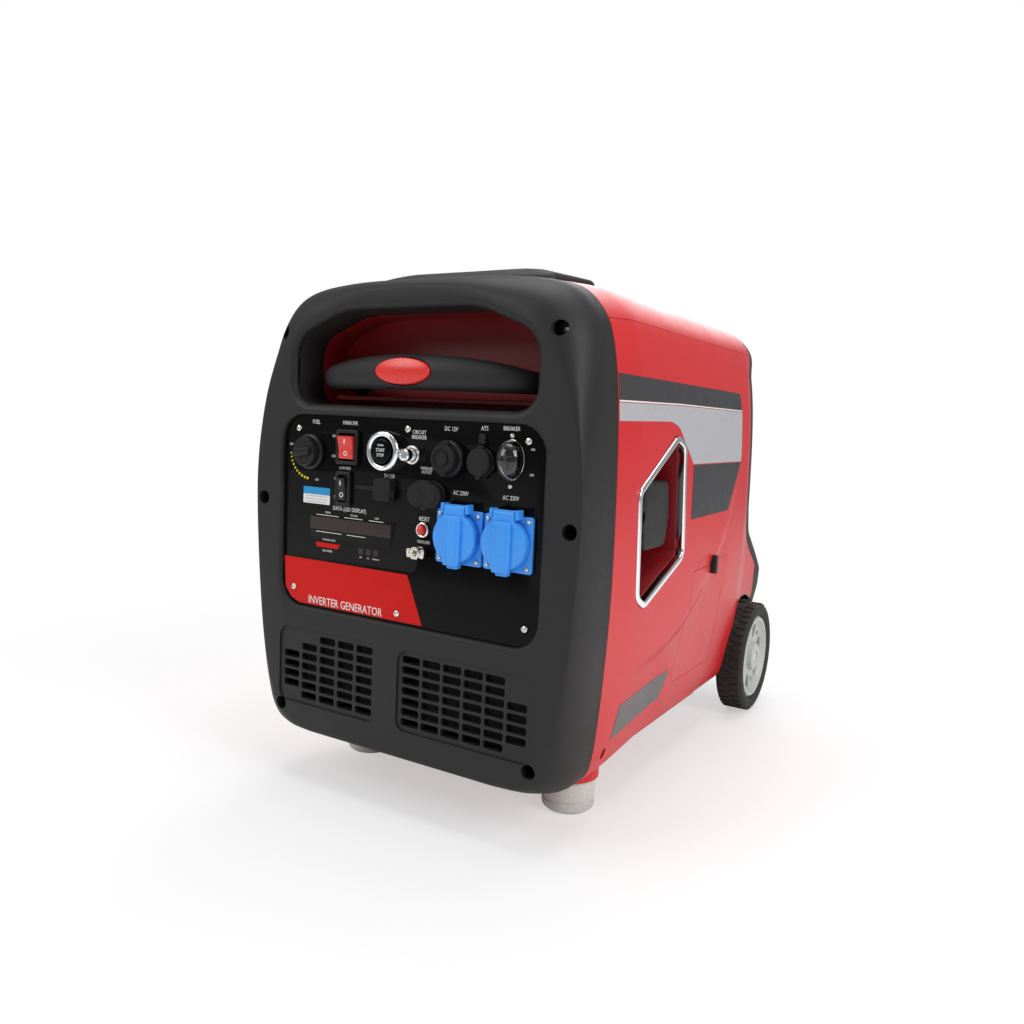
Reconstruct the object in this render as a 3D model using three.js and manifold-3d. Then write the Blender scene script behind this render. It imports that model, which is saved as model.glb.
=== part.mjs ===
// Portable inverter generator: a closed plastic casing on two rear wheels and two front feet,
// with a pull-out trolley handle, a control panel, and the engine, tank and inverter inside.
// Millimetres, +Z up. +X is the viewer's right when facing the control panel and +Y points to
// the rear. The origin is under the middle of the object, on the ground.
import * as THREE from "three";
import { mergeVertices } from "three/addons/utils/BufferGeometryUtils.js";
import Module from "manifold-3d";

const wasm = await Module();
wasm.setup();

// ---------------------------------------------------------------- driving dimensions
const GAP = 0.3; // clearance between neighbouring pieces
const FRONT_TO_ORIGIN = 307; // from the front face to the middle of the object's length
const WALL = 4; // casing wall
const SEAM_Y = 62; // front cover meets the red panels
const REAR_SEAM_Y = 512; // red panels meet the rear cover
const TOP_SEAM_Z = 499; // side panels meet the top panel
const HALF_WIDTH = 193;
const CASING_TOP = 519;
const CASING_BOTTOM = 50;
const MIDDLE_Z = 285;
const WHEEL = { y: 555, z: 75, radius: 75, rim: 57, inner: 163, outer: 200, arch: 84 };
const AXLE_RADIUS = 7.5;
const FOOT = { x: 130, y: 125, radius: 27, top: 34 };
const PANEL = { front: 4.3, back: 7.3, x0: -155, x1: 153, z0: 189, z1: 385, radius: 24 };
const TUBE = { x: 118, z: 421, radius: 9.5, front: 60, back: 440 };
const SOCKETS = { left: 68, right: 120, z: 281, plate: 50, cup: 18, lid: 23 };
const CRANK = { y: 215, z: 235 };

// ---------------------------------------------------------------- colours
const RED = { color: 0xc1141d, roughness: 0.38, metalness: 0 };
const BLACK = { color: 0x222224, roughness: 0.62, metalness: 0 };
const GLOSS_BLACK = { color: 0x08080a, roughness: 0.15, metalness: 0 };
const RUBBER = { color: 0x17171a, roughness: 0.85, metalness: 0 };
const GREY = { color: 0x9a9c9e, roughness: 0.5, metalness: 0 };
const PALE = { color: 0xd8d8d4, roughness: 0.6, metalness: 0 };
const BLUE = { color: 0x1f6fd0, roughness: 0.4, metalness: 0 };
const STEEL = { color: 0xb4b6b8, roughness: 0.3, metalness: 1 };
const CHROME = { color: 0xe2e4e6, roughness: 0.08, metalness: 1 };
const ALUMINIUM = { color: 0xa8aaac, roughness: 0.45, metalness: 1 };
const CLEAR = { color: 0xdfe6ea, roughness: 0.08, metalness: 0, transparent: true, opacity: 0.4 };

// ---------------------------------------------------------------- solids
function solid(geometry) {
  const bare = geometry.index ? geometry.toNonIndexed() : geometry.clone();
  bare.deleteAttribute("normal");
  bare.deleteAttribute("uv");
  const merged = mergeVertices(bare, 1e-4);
  const mesh = new wasm.Mesh({
    numProp: 3,
    vertProperties: new Float32Array(merged.attributes.position.array),
    triVerts: new Uint32Array(merged.index.array),
  });
  return new wasm.Manifold(mesh);
}

function geometryOf(body) {
  const { vertProperties, triVerts } = body.getMesh();
  return new THREE.BufferGeometry()
    .setAttribute("position", new THREE.BufferAttribute(new Float32Array(vertProperties), 3))
    .setIndex(new THREE.BufferAttribute(new Uint32Array(triVerts), 1))
    .toNonIndexed();
}

const unite = (bodies) => bodies.reduce((sum, next) => sum.add(next));
const cut = (body, cutters) => cutters.reduce((rest, cutter) => rest.subtract(cutter), body);

function block([x0, x1], [y0, y1], [z0, z1]) {
  const box = new THREE.BoxGeometry(x1 - x0, y1 - y0, z1 - z0);
  return solid(box.translate((x0 + x1) / 2, (y0 + y1) / 2, (z0 + z1) / 2));
}

// Rods along each axis; the first two numbers place the axis line.
function rodX(y, z, radius, x0, x1, sides = 24) {
  const rod = new THREE.CylinderGeometry(radius, radius, x1 - x0, sides).rotateZ(-Math.PI / 2);
  return solid(rod.translate((x0 + x1) / 2, y, z));
}
function rodY(x, z, radius, y0, y1, sides = 24) {
  return solid(new THREE.CylinderGeometry(radius, radius, y1 - y0, sides).translate(x, (y0 + y1) / 2, z));
}
function rodZ(x, y, radius, z0, z1, sides = 24) {
  const rod = new THREE.CylinderGeometry(radius, radius, z1 - z0, sides).rotateX(Math.PI / 2);
  return solid(rod.translate(x, y, (z0 + z1) / 2));
}

// Outlines extruded along one axis: slabX takes (y, z), slabY takes (x, z), slabZ takes (x, y).
function extrude(shape, depth, curveSegments) {
  return new THREE.ExtrudeGeometry(shape, { depth, bevelEnabled: false, curveSegments });
}
function slabX(shape, x0, x1, curveSegments = 4) {
  const axes = [new THREE.Vector3(0, 1, 0), new THREE.Vector3(0, 0, 1), new THREE.Vector3(1, 0, 0)];
  const turned = extrude(shape, x1 - x0, curveSegments).applyMatrix4(new THREE.Matrix4().makeBasis(...axes));
  return solid(turned.translate(x0, 0, 0));
}
function slabY(shape, y0, y1, curveSegments = 4) {
  return solid(extrude(shape, y1 - y0, curveSegments).rotateX(Math.PI / 2).translate(0, y1, 0));
}
function slabZ(shape, z0, z1, curveSegments = 4) {
  return solid(extrude(shape, z1 - z0, curveSegments).translate(0, 0, z0));
}

// A polygon whose corners are rounded off by at most the given radius.
function rounded(corners, radius) {
  const points = corners.map(([a, b]) => new THREE.Vector2(a, b));
  const shape = new THREE.Shape();
  points.forEach((corner, i) => {
    const before = points[(i + points.length - 1) % points.length];
    const after = points[(i + 1) % points.length];
    const reach = Math.min(radius, corner.distanceTo(before) / 2.01, corner.distanceTo(after) / 2.01);
    const start = corner.clone().lerp(before, reach / corner.distanceTo(before));
    const end = corner.clone().lerp(after, reach / corner.distanceTo(after));
    if (i === 0) shape.moveTo(start.x, start.y);
    else shape.lineTo(start.x, start.y);
    shape.quadraticCurveTo(corner.x, corner.y, end.x, end.y);
  });
  shape.closePath();
  return shape;
}
function plate(x, z, width, height, radius) {
  const [a, b] = [width / 2, height / 2];
  return rounded([[x - a, z - b], [x + a, z - b], [x + a, z + b], [x - a, z + b]], radius);
}
function polygon(corners) {
  return new THREE.Shape(corners.map(([a, b]) => new THREE.Vector2(a, b)));
}
// Moves every corner of a polygon towards its middle.
function shrink(corners, distance) {
  const middle = corners.reduce(([a, b], [c, d]) => [a + c / corners.length, b + d / corners.length],
    [0, 0]);
  return corners.map(([a, b]) => {
    const reach = Math.hypot(a - middle[0], b - middle[1]);
    const scale = 1 - distance / reach;
    return [middle[0] + (a - middle[0]) * scale, middle[1] + (b - middle[1]) * scale];
  });
}

// ---------------------------------------------------------------- the group of meshes
const generator = new THREE.Group();
const assembly = new THREE.Group();
assembly.position.y = -FRONT_TO_ORIGIN;
generator.add(assembly);

function add(name, body, finish) {
  const mesh = new THREE.Mesh(geometryOf(body), new THREE.MeshStandardMaterial(finish));
  mesh.name = name;
  assembly.add(mesh);
  return mesh;
}

// ---------------------------------------------------------------- casing
// Right half of the casing's cross-section, from the top middle to the bottom middle: the full
// section behind the front edge, and the smaller outline of the flat front face.
const FULL_SECTION = [[0, CASING_TOP], [90, 518], [142, 511], [168, 492], [182, 462], [190, 400],
  [HALF_WIDTH, 300], [192, 200], [184, 90], [172, 58], [148, CASING_BOTTOM]];
const FACE_SECTION = [[0, 505], [55, 502], [92, 491], [132, 470], [154, 436], [178, 395],
  [190, 325], [186, 229], [175, 144], [158, 90], [136, 68], [108, 62]];
const HALF_STEPS = 22;
const EDGE_DEPTH = 48; // how far back the front edge's rounding reaches
const STATIONS = [0, 1.5, 6, 14, 27, EDGE_DEPTH, 110, 490, 538, 625];
const CROWN_Z = 5; // the red top stands this much above the front cover
const CROWN_X = 2;
const REAR_INSET = 9;

function halfOutline(points) {
  const [first, ...rest] = points.map(([x, z]) => new THREE.Vector2(x, z));
  const path = new THREE.Path().moveTo(first.x, first.y);
  path.splineThru(rest);
  path.lineTo(0, points.at(-1)[1]);
  return path.getSpacedPoints(HALF_STEPS);
}
function wholeOutline(points) {
  const half = halfOutline(points);
  const mirrored = half.slice(1, -1).reverse().map((p) => new THREE.Vector2(-p.x, p.y));
  return [...half, ...mirrored];
}
const ramp = (y, start, end) => THREE.MathUtils.clamp((y - start) / (end - start), 0, 1);

// The casing's outer form, every surface moved inwards by inset.
function casingForm(inset) {
  const full = wholeOutline(FULL_SECTION);
  const face = wholeOutline(FACE_SECTION);
  const key = (x, z) => x.toFixed(2) + " " + z.toFixed(2);
  const index = new Map(full.map((p, i) => [key(p.x, p.y), i]));
  const steps = STATIONS.length - 1;
  const shape = new THREE.Shape(full);
  const form = new THREE.ExtrudeGeometry(shape, { depth: 1, steps, bevelEnabled: false });
  const position = form.attributes.position;
  const scaleX = 1 - inset / HALF_WIDTH;
  const scaleZ = 1 - inset / ((CASING_TOP - CASING_BOTTOM) / 2);
  for (let i = 0; i < position.count; i++) {
    const station = Math.round(position.getZ(i) * steps);
    const y = STATIONS[station];
    const at = index.get(key(position.getX(i), position.getY(i)));
    const edge = 1 - Math.sqrt(1 - (1 - ramp(y, 0, EDGE_DEPTH)) ** 2);
    const point = full[at].clone().lerp(face[at], edge);
    const crown = ramp(y, EDGE_DEPTH, 110);
    const rear = ramp(y, 490, 538) * REAR_INSET;
    const x = point.x * (1 + (crown * CROWN_X - rear) / HALF_WIDTH);
    const lift = point.y > MIDDLE_Z ? crown * CROWN_Z * ((point.y - MIDDLE_Z) / (CASING_TOP - MIDDLE_Z)) : 0;
    const z = MIDDLE_Z + (point.y + lift - MIDDLE_Z) * scaleZ;
    position.setXYZ(i, -x * scaleX, station === 0 ? y + inset : Math.max(y, inset + y / 4), z);
  }
  return solid(form);
}

// The casing seen from the side: the undercut before the wheels, the fender and the upright back.
const SIDE_VIEW = [[-9, 30], [440, 30], [440, CASING_BOTTOM], [606, 138], [622, 165], [622, 190],
  [600, 208],
  [545, 250], [538, 285], [538, 498], [531, 514], [516, 522], [500, 535], [-9, 535]];
const SIDE_VIEW_INNER = [[-9, 30], [441, 30], [441, CASING_BOTTOM + WALL + 1], [602, 141], [618, 167],
  [618, 188],
  [598, 204], [541, 247], [534, 284], [534, 496], [528, 510], [514, 518], [498, 535], [-9, 535]];
const REACH_X = 210; // past the casing's sides
const outer = casingForm(0).intersect(slabX(polygon(SIDE_VIEW), -REACH_X, REACH_X));
const inner = casingForm(WALL).intersect(slabX(polygon(SIDE_VIEW_INNER), -REACH_X, REACH_X));
const shell = outer.subtract(inner);

const wheelWells = [-1, 1].map((side) => {
  const reach = [156 * side, REACH_X * side].sort((a, b) => a - b);
  return rodX(WHEEL.y, WHEEL.z, WHEEL.arch, ...reach, 32);
});

// Handle opening and control panel opening in the front face.
const HANDLE_OPENING = [[-141, 396], [141, 396], [141, 462], [78, 487], [-78, 487], [-141, 462]];
const handleOpening = (grow) => rounded(shrink(HANDLE_OPENING, -grow), 24);
const panelOutline = (grow) => {
  const { x0, x1, z0, z1, radius } = PANEL;
  return plate((x0 + x1) / 2, (z0 + z1) / 2, x1 - x0 + 2 * grow, z1 - z0 + 2 * grow, radius + grow);
};

// Air intake grilles: two fields of rows, each row in two slots.
const GRILLES = [{ x0: -150, x1: -28, z0: 90, z1: 162 }, { x0: 6, x1: 148, z0: 90, z1: 162 }];
const GRILLE_ROWS = 7;
const GRILLE_BAR = 4;
function grilleSlots({ x0, x1, z0, z1 }) {
  const pitchZ = (z1 - z0) / GRILLE_ROWS;
  const pitchX = (x1 - x0) / 2;
  const slots = [];
  for (let row = 0; row < GRILLE_ROWS; row++) {
    for (let column = 0; column < 2; column++) {
      const left = x0 + column * pitchX;
      const bottom = z0 + row * pitchZ;
      const width = [left + GRILLE_BAR, left + pitchX - GRILLE_BAR];
      slots.push(block(width, [-9, 40], [bottom + GRILLE_BAR / 2, bottom + pitchZ - GRILLE_BAR / 2]));
    }
  }
  return slots;
}

const frontCover = shell.intersect(block([-REACH_X, REACH_X], [-9, SEAM_Y], [0, 560]));
add("front_cover", cut(frontCover, [slabY(handleOpening(0), -9, 40), slabY(panelOutline(0), -9, 40),
  ...GRILLES.flatMap(grilleSlots)]), BLACK);

// Trolley handle recess: a cup behind the handle opening, open to the front, with two bores
// for the handle tubes.
const RECESS = { front: 4.5, back: 84, wall: 3 };
const recessCup = slabY(handleOpening(RECESS.wall + 1), RECESS.front, RECESS.back)
  .subtract(slabY(handleOpening(0.5), 0, RECESS.back - RECESS.wall))
  .intersect(casingForm(WALL + 0.5));
const tubeBores = [-1, 1].map((side) => rodY(side * TUBE.x, TUBE.z, TUBE.radius + 1, 60, 120));
add("handle_recess", cut(recessCup, tubeBores), RED);

const RED_SIDE = [[SEAM_Y + GAP, 0], [520, 0], [587, 120], [596, 160], [594, 198], [556, 224], [515, 262],
  [REAR_SEAM_Y - GAP, 300], [REAR_SEAM_Y - GAP, TOP_SEAM_Z - GAP], [SEAM_Y + GAP, TOP_SEAM_Z - GAP]];
const REAR_PART = [[REAR_SEAM_Y, 540], [REAR_SEAM_Y, 300], [515.5, 262.3], [556.5, 224.5], [594.5, 198.5],
  [596.5, 160],
  [587.5, 118], [640, 100], [640, 540]];
const FLANGE_X = 140; // how far in the side panels' bottom flanges reach

// Recoil starter window in the right side panel, in (y, z).
const STARTER_WINDOW = [[115, 222], [108, 328], [203, 381], [229, 372], [241, 250], [136, 211]];
const STARTER = { y: 186, z: 299, floor: 146, trimWidth: 9, cornerRadius: 14 };
const window = (inset) => rounded(shrink(STARTER_WINDOW, inset), STARTER.cornerRadius);

// Service door in the right side panel, hinged along its bottom edge.
const DOOR = [[270, 102], [394, 102], [411, 168], [422, 232], [278, 230], [276, 182], [289, 166],
  [270, 114]];
const LATCH = { y: 343, z: 231, radius: 9 };
const doorRegion = (grow) => slabX(polygon(shrink(DOOR, -grow)), FLANGE_X, REACH_X);
const latchHole = rodX(LATCH.y, LATCH.z, LATCH.radius + 0.6, 170, REACH_X);

const redRing = shell.intersect(slabX(polygon(RED_SIDE), -REACH_X, REACH_X));
const rightSide = redRing.intersect(block([FLANGE_X, REACH_X], [0, 640], [0, 540]));
add("side_panel_right", cut(rightSide, [wheelWells[1], slabX(window(-0.5), 150, REACH_X), doorRegion(0.8),
  latchHole]), RED);
add("side_panel_left", cut(redRing.intersect(block([-REACH_X, -FLANGE_X], [0, 640], [0, 540])),
  [wheelWells[0]]), RED);
add("service_door", cut(rightSide.intersect(doorRegion(0)), [latchHole]), RED);
add("service_door_latch", rodX(LATCH.y, LATCH.z, LATCH.radius, 188, 197).add(
  block([196, 202], [LATCH.y - 7, LATCH.y + 7], [LATCH.z - 13, LATCH.z + 13])), BLACK);

const FUEL = { x: 0, y: 143, neck: 20, cap: 34, capBottom: 528.4, capTop: 535 };
const topStrip = shell.intersect(
  block([-REACH_X, REACH_X], [SEAM_Y + GAP, REAR_SEAM_Y - GAP], [TOP_SEAM_Z, 540]));
add("top_panel", cut(topStrip, [rodZ(FUEL.x, FUEL.y, FUEL.neck + 2, 500, 560)]), RED);

// Low hump on top, widest towards its rear corners, with a round well for the fuel cap. Its plan
// is in (x, y), its rise along the casing in (y, z) and its crown across the casing in (x, z).
const HUMP_PLAN = [[-104, 78], [104, 78], [123, 140], [96, 176], [50, 205], [-50, 205], [-96, 176],
  [-123, 140]];
const HUMP_RISE = [[70, 500], [76, 527], [90, 534], [108, 538], [150, 537], [195, 531], [212, 524],
  [212, 500]];
const HUMP_CROWN = [[-126, 500], [126, 500], [126, 526], [118, 529], [98, 535], [60, 538], [0, 539],
  [-60, 538], [-98, 535], [-118, 529], [-126, 526]];
const WELL_RADIUS = FUEL.cap + 9;
const hump = slabZ(rounded(HUMP_PLAN, 9), 500, 560)
  .intersect(slabX(polygon(HUMP_RISE), -REACH_X, REACH_X))
  .intersect(slabY(polygon(HUMP_CROWN), 60, 220));
const fuelWell = rodZ(FUEL.x, FUEL.y, WELL_RADIUS, 500, 560, 32);
add("top_surround", cut(hump, [casingForm(-0.4), fuelWell]), BLACK);
add("fuel_cap", unite([
  rodZ(FUEL.x, FUEL.y, FUEL.cap, FUEL.capBottom, FUEL.capTop, 24),
  block([-6, 6], [FUEL.y - 28, FUEL.y + 28], [FUEL.capTop - 1, FUEL.capTop + 3]),
]), BLACK);

// Rear cover: the upright back, the fender and the floor between the wheels, with the cooling
// air outlet and the exhaust outlet.
const OUTLET_ROWS = 8;
const outletSlots = Array.from({ length: OUTLET_ROWS },
  (_, i) => block([-150, -20], [520, 560], [300 + i * 20, 308 + i * 20]));
const rearRegion = slabX(polygon(REAR_PART), -REACH_X, REACH_X).add(
  block([-FLANGE_X + GAP, FLANGE_X - GAP], [440.5, 600], [40, 150]));
add("rear_cover", cut(shell.intersect(rearRegion),
  [...wheelWells, ...outletSlots, rodY(90, 330, 24, 520, 560)]), BLACK);

// Chassis: floor plate, bosses for the feet, engine mounts and the two axle lugs.
const FLOOR = { x: 150, y0: 68, y1: 470, z0: 42, z1: CASING_BOTTOM - GAP };
const LUG = { x0: 128, x1: 138 };
const lugOutline = rounded([[380, 43.5], [470, 43], [556, 56], [575, 66], [575, 86], [556, 95], [536, 88],
  [448, 48.5],
  [380, 48.5]], 8);
const axleBore = rodX(WHEEL.y, WHEEL.z, AXLE_RADIUS + GAP, -160, 160);
add("base_pan", cut(unite([
  block([-FLOOR.x, FLOOR.x], [FLOOR.y0, FLOOR.y1 - 30.5], [FLOOR.z0, FLOOR.z1]),
  ...[-1, 1].flatMap((side) => [
    rodZ(side * FOOT.x, FOOT.y, FOOT.radius + 3, FOOT.top + GAP, FLOOR.z1, 28),
    slabX(lugOutline, ...[side * LUG.x0, side * LUG.x1].sort((a, b) => a - b)),
    rodZ(side * 50, 180, 12, FLOOR.z0 + 1, 74.6, 16),
    rodZ(side * 50, 320, 12, FLOOR.z0 + 1, 74.6, 16),
  ]),
]), [axleBore]), RED);

for (const [side, name] of [[-1, "left"], [1, "right"]]) {
  const profile = [[0, 0], [24, 0], [FOOT.radius, 4], [FOOT.radius, FOOT.top - 3],
    [FOOT.radius - 3, FOOT.top], [0, FOOT.top]];
  const foot = new THREE.LatheGeometry(profile.map(([r, z]) => new THREE.Vector2(r, z)),
    28).rotateX(Math.PI / 2);
  add("foot_" + name, solid(foot.translate(side * FOOT.x, FOOT.y, 0)), PALE);
}

// ---------------------------------------------------------------- wheels
add("axle", rodX(WHEEL.y, WHEEL.z, AXLE_RADIUS, -WHEEL.outer + 3, WHEEL.outer - 3), STEEL);

function turned(profile, segments) {
  const points = profile.map(([radius, x]) => new THREE.Vector2(radius, x));
  return solid(new THREE.LatheGeometry(points, segments).rotateZ(-Math.PI / 2));
}
const TREAD_WIDTH = WHEEL.outer - WHEEL.inner;
const HUB_HOLES = 6;
for (const [side, name] of [[-1, "left"], [1, "right"]]) {
  const half = TREAD_WIDTH / 2;
  const { radius, rim } = WHEEL;
  const tyre = turned([[rim + GAP, -half + 3], [radius - 8, -half], [radius, -half + 7], [radius, half - 7],
    [radius - 8, half], [rim + GAP, half - 3], [rim + GAP, -half + 3]], 40);
  const bore = AXLE_RADIUS + GAP;
  const hub = turned([[bore, -half + 2], [22, -half + 2], [22, -4], [rim - 9, -4], [rim - 9, -half + 4],
    [rim, -half + 4],
    [rim, half - 3], [rim - 9, half - 3], [rim - 9, 6], [22, 6], [22, half - 2], [bore, half - 2],
      [bore, -half + 2]], 32);
  const holes = Array.from({ length: HUB_HOLES }, (_, i) => {
    const angle = (i / HUB_HOLES) * 2 * Math.PI;
    return rodX(35 * Math.cos(angle), 35 * Math.sin(angle), 9, -20, 20, 10);
  });
  const place = (mesh) => mesh.position.set((side * (WHEEL.inner + WHEEL.outer)) / 2, WHEEL.y, WHEEL.z);
  place(add("tyre_" + name, tyre, RUBBER));
  place(add("hub_" + name, cut(hub, holes), GREY));
}

// ---------------------------------------------------------------- trolley handle
// The grip is bowed forwards in plan and thicker in the middle; its ends turn back to the tubes.
const GRIP_PLAN = [[-128, 60], [-128, 34], [-112, 16], [-60, 0], [0, -5], [60, 0], [112, 16], [128, 34],
  [128, 60],
  [108, 60], [106, 44], [88, 37], [50, 28], [0, 25], [-50, 28], [-88, 37], [-106, 44], [-108, 60]];
const GRIP_FACE = [[-129, 411.5], [129, 411.5], [129, 433], [96, 439], [40, 445], [0, 446], [-40, 445],
  [-96, 439], [-129, 433]];
const BUTTON = { z: 429, width: 64, height: 26, back: 8, front: -8.5, travel: 4 };
const gripBar = slabZ(rounded(GRIP_PLAN, 8), 400, 460,
  3).intersect(slabY(rounded(GRIP_FACE, 6), -20, 70, 3));
const buttonPocket = slabY(plate(0, BUTTON.z, BUTTON.width + 1, BUTTON.height + 1, 13), -20,
  BUTTON.back + BUTTON.travel + 1, 5);
add("handle_grip", gripBar.subtract(buttonPocket), BLACK);
add("handle_release", slabY(plate(0, BUTTON.z, BUTTON.width, BUTTON.height, 13), BUTTON.front,
  BUTTON.back, 5), RED);
for (const [side, name] of [[-1, "left"], [1, "right"]]) {
  const x = side * TUBE.x;
  add("handle_tube_" + name, rodY(x, TUBE.z, TUBE.radius, TUBE.front + GAP, TUBE.back), STEEL);
  add("handle_guide_" + name, rodY(x, TUBE.z, TUBE.radius + 3.5, RECESS.back + GAP, 300)
    .subtract(rodY(x, TUBE.z, TUBE.radius + 0.5, 60, 320)), BLACK);
}

// ---------------------------------------------------------------- control panel
const KNOB = { x: -119, z: 348, radius: 18 };
const MAIN_SWITCH = { x: -69, z: 355, width: 28, height: 34 };
const IDLE_SWITCH = { x: -73, z: 314, width: 19, height: 34 };
const START = { x: -21, z: 354, ring: 19.5, button: 12 };
const BREAKER_BUTTON = { x: 10, z: 352, radius: 6 };
const RESET = { x: 25, z: 283, radius: 4.5 };
const DC = { x: 52, z: 351, flange: 17, bore: 10.5, cap: 13 };
const ATS = { x: 88, z: 350, radius: 12 };
const USB = { x: -20, z: 317, size: 20 };
const PARALLEL = { x: 30, z: 317, width: 38, height: 24 };
const AC_BREAKER = { x: 118, z: 354, width: 26, height: 36 };
const GROUND = { x: 24, z: 262 };
const LEDGE = PANEL.front - GAP; // back of the pieces that lie on the panel

const rockerHole = ({ x, z, width, height }) => slabY(plate(x, z, width - 8, height - 7, 1), -20, 30, 2);
const panelPlate = slabY(panelOutline(5), PANEL.front, PANEL.back);
const collars = [rodY(ATS.x, ATS.z, ATS.radius, 1, 6),
  slabY(plate(USB.x, USB.z, USB.size, USB.size, 3), 1, 6, 2),
  slabY(plate(PARALLEL.x, PARALLEL.z, PARALLEL.width, PARALLEL.height, 12), 1, 6)];
add("control_panel", cut(unite([panelPlate, ...collars]), [
  rockerHole(MAIN_SWITCH),
  rockerHole(IDLE_SWITCH),
  rodY(START.x, START.z, START.button + 1, 0, 20),
  rodY(BREAKER_BUTTON.x, BREAKER_BUTTON.z, BREAKER_BUTTON.radius + 0.5, 0, 20, 16),
  rodY(RESET.x, RESET.z, RESET.radius + 0.5, 0, 20, 16),
  rodY(DC.x, DC.z, DC.bore + 3, 0, 20),
  rodY(SOCKETS.left, SOCKETS.z, SOCKETS.cup + 4, 0, 20),
  rodY(SOCKETS.right, SOCKETS.z, SOCKETS.cup + 4, 0, 20),
]), GLOSS_BLACK);

const knobBody = unite([rodY(0, 0, KNOB.radius, -8, LEDGE), slabY(plate(0, 0, 9, 34, 3), -16, -7, 2)]);
add("fuel_knob", knobBody, BLACK).position.set(KNOB.x, 0, KNOB.z);

// Rocker switches: a frame on the panel and a rocker that rests tilted to one side.
const ROCKER = { pivotY: 7, front: -2, tilt: THREE.MathUtils.degToRad(8) };
for (const [name, spec] of [["main_switch", MAIN_SWITCH], ["idle_switch", IDLE_SWITCH]]) {
  const { x, z, width, height } = spec;
  const frame = slabY(plate(x, z, width, height, 3), 0, LEDGE, 2).subtract(rockerHole(spec));
  add(name + "_frame", frame, BLACK);
  const depth = [ROCKER.front - ROCKER.pivotY, 4];
  const rocker = block([-(width - 9.5) / 2, (width - 9.5) / 2], depth,
    [-(height - 11) / 2, (height - 11) / 2]);
  const mesh = add(name + "_rocker", rocker, name === "main_switch" ? RED : BLACK);
  mesh.position.set(x, ROCKER.pivotY, z);
  mesh.rotation.x = ROCKER.tilt;
}

add("start_ring", rodY(START.x, START.z, START.ring, -5, LEDGE,
  32).subtract(rodY(START.x, START.z, START.button + 0.6, -9, 9, 32)), CHROME);
add("start_button", rodY(START.x, START.z, START.button, -6, 12), BLACK);
add("breaker_button", rodY(BREAKER_BUTTON.x, BREAKER_BUTTON.z, BREAKER_BUTTON.radius, -11, 10, 16),
  ALUMINIUM);
add("reset_button", rodY(RESET.x, RESET.z, RESET.radius, -2, 10, 16), RED);

// Circuit breaker toggle under its clear dome.
function dome(shrunk) {
  const ball = new THREE.SphereGeometry(1, 20, 12).scale(AC_BREAKER.width / 2 - shrunk, 16 - shrunk,
    AC_BREAKER.height / 2 - shrunk);
  return solid(ball.translate(AC_BREAKER.x, LEDGE, AC_BREAKER.z));
}
add("breaker_dome", dome(0).subtract(dome(1.4)).intersect(block([60, 160], [-20, LEDGE], [300, 400])),
  CLEAR);
add("breaker_body", slabY(plate(AC_BREAKER.x, AC_BREAKER.z, 13, 24, 2), 1.5, LEDGE, 2)
  .subtract(block([AC_BREAKER.x - 4, AC_BREAKER.x + 4], [-9, 9], [AC_BREAKER.z - 9, AC_BREAKER.z + 9])),
    BLACK);
const toggle = add("breaker_toggle", unite([block([-3, 3], [-9, 0], [-2.5, 2.5]),
  rodX(0, 0, 2.5, -3, 3, 12)]), BLACK);
toggle.position.set(AC_BREAKER.x, 1.2, AC_BREAKER.z);
toggle.rotation.x = THREE.MathUtils.degToRad(-18);

// Low-voltage outlet and the rubber caps, each hinged on its strap at the top or the side.
add("dc_outlet", cut(unite([rodY(DC.x, DC.z, DC.flange, -2, LEDGE),
  rodY(DC.x, DC.z, DC.bore + 2.4, 0, 32)]), [
  rodY(DC.x, DC.z, DC.bore, -9, 28)]), BLACK);
function roundCap(x, z, radius, y0, y1) {
  const strap = block([x - 4, x + 4], [y1 - 2, y1], [z + radius - 2, z + radius + 3]);
  return unite([rodY(x, z, radius, y0, y1), strap]);
}
add("dc_cap", roundCap(DC.x, DC.z, DC.cap, -9, -2.4), RUBBER);
add("ats_cap", roundCap(ATS.x, ATS.z, ATS.radius + 0.5, -5, 0.6), RUBBER);
add("usb_cover", slabY(plate(USB.x, USB.z, USB.size + 1, USB.size + 1, 4), -4.4, 0.6, 2), RUBBER);
add("parallel_cover", slabY(plate(PARALLEL.x, PARALLEL.z, PARALLEL.width + 1, PARALLEL.height + 1, 12),
  -5, 0.6), RUBBER);

add("display_window", slabY(polygon([[-118, 262], [-14, 262], [-8, 286], [-112, 286]]), 2.4, LEDGE),
  GLOSS_BLACK);

add("ground_terminal", unite([rodY(GROUND.x, GROUND.z, 6, 1, LEDGE, 6),
  rodY(GROUND.x, GROUND.z, 2.5, -14, 2, 12)]), STEEL);
add("ground_nut", rodY(GROUND.x, GROUND.z, 6.5, -8, -2,
  6).subtract(rodY(GROUND.x, GROUND.z, 2.9, -20, 5, 12)), STEEL);

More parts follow.
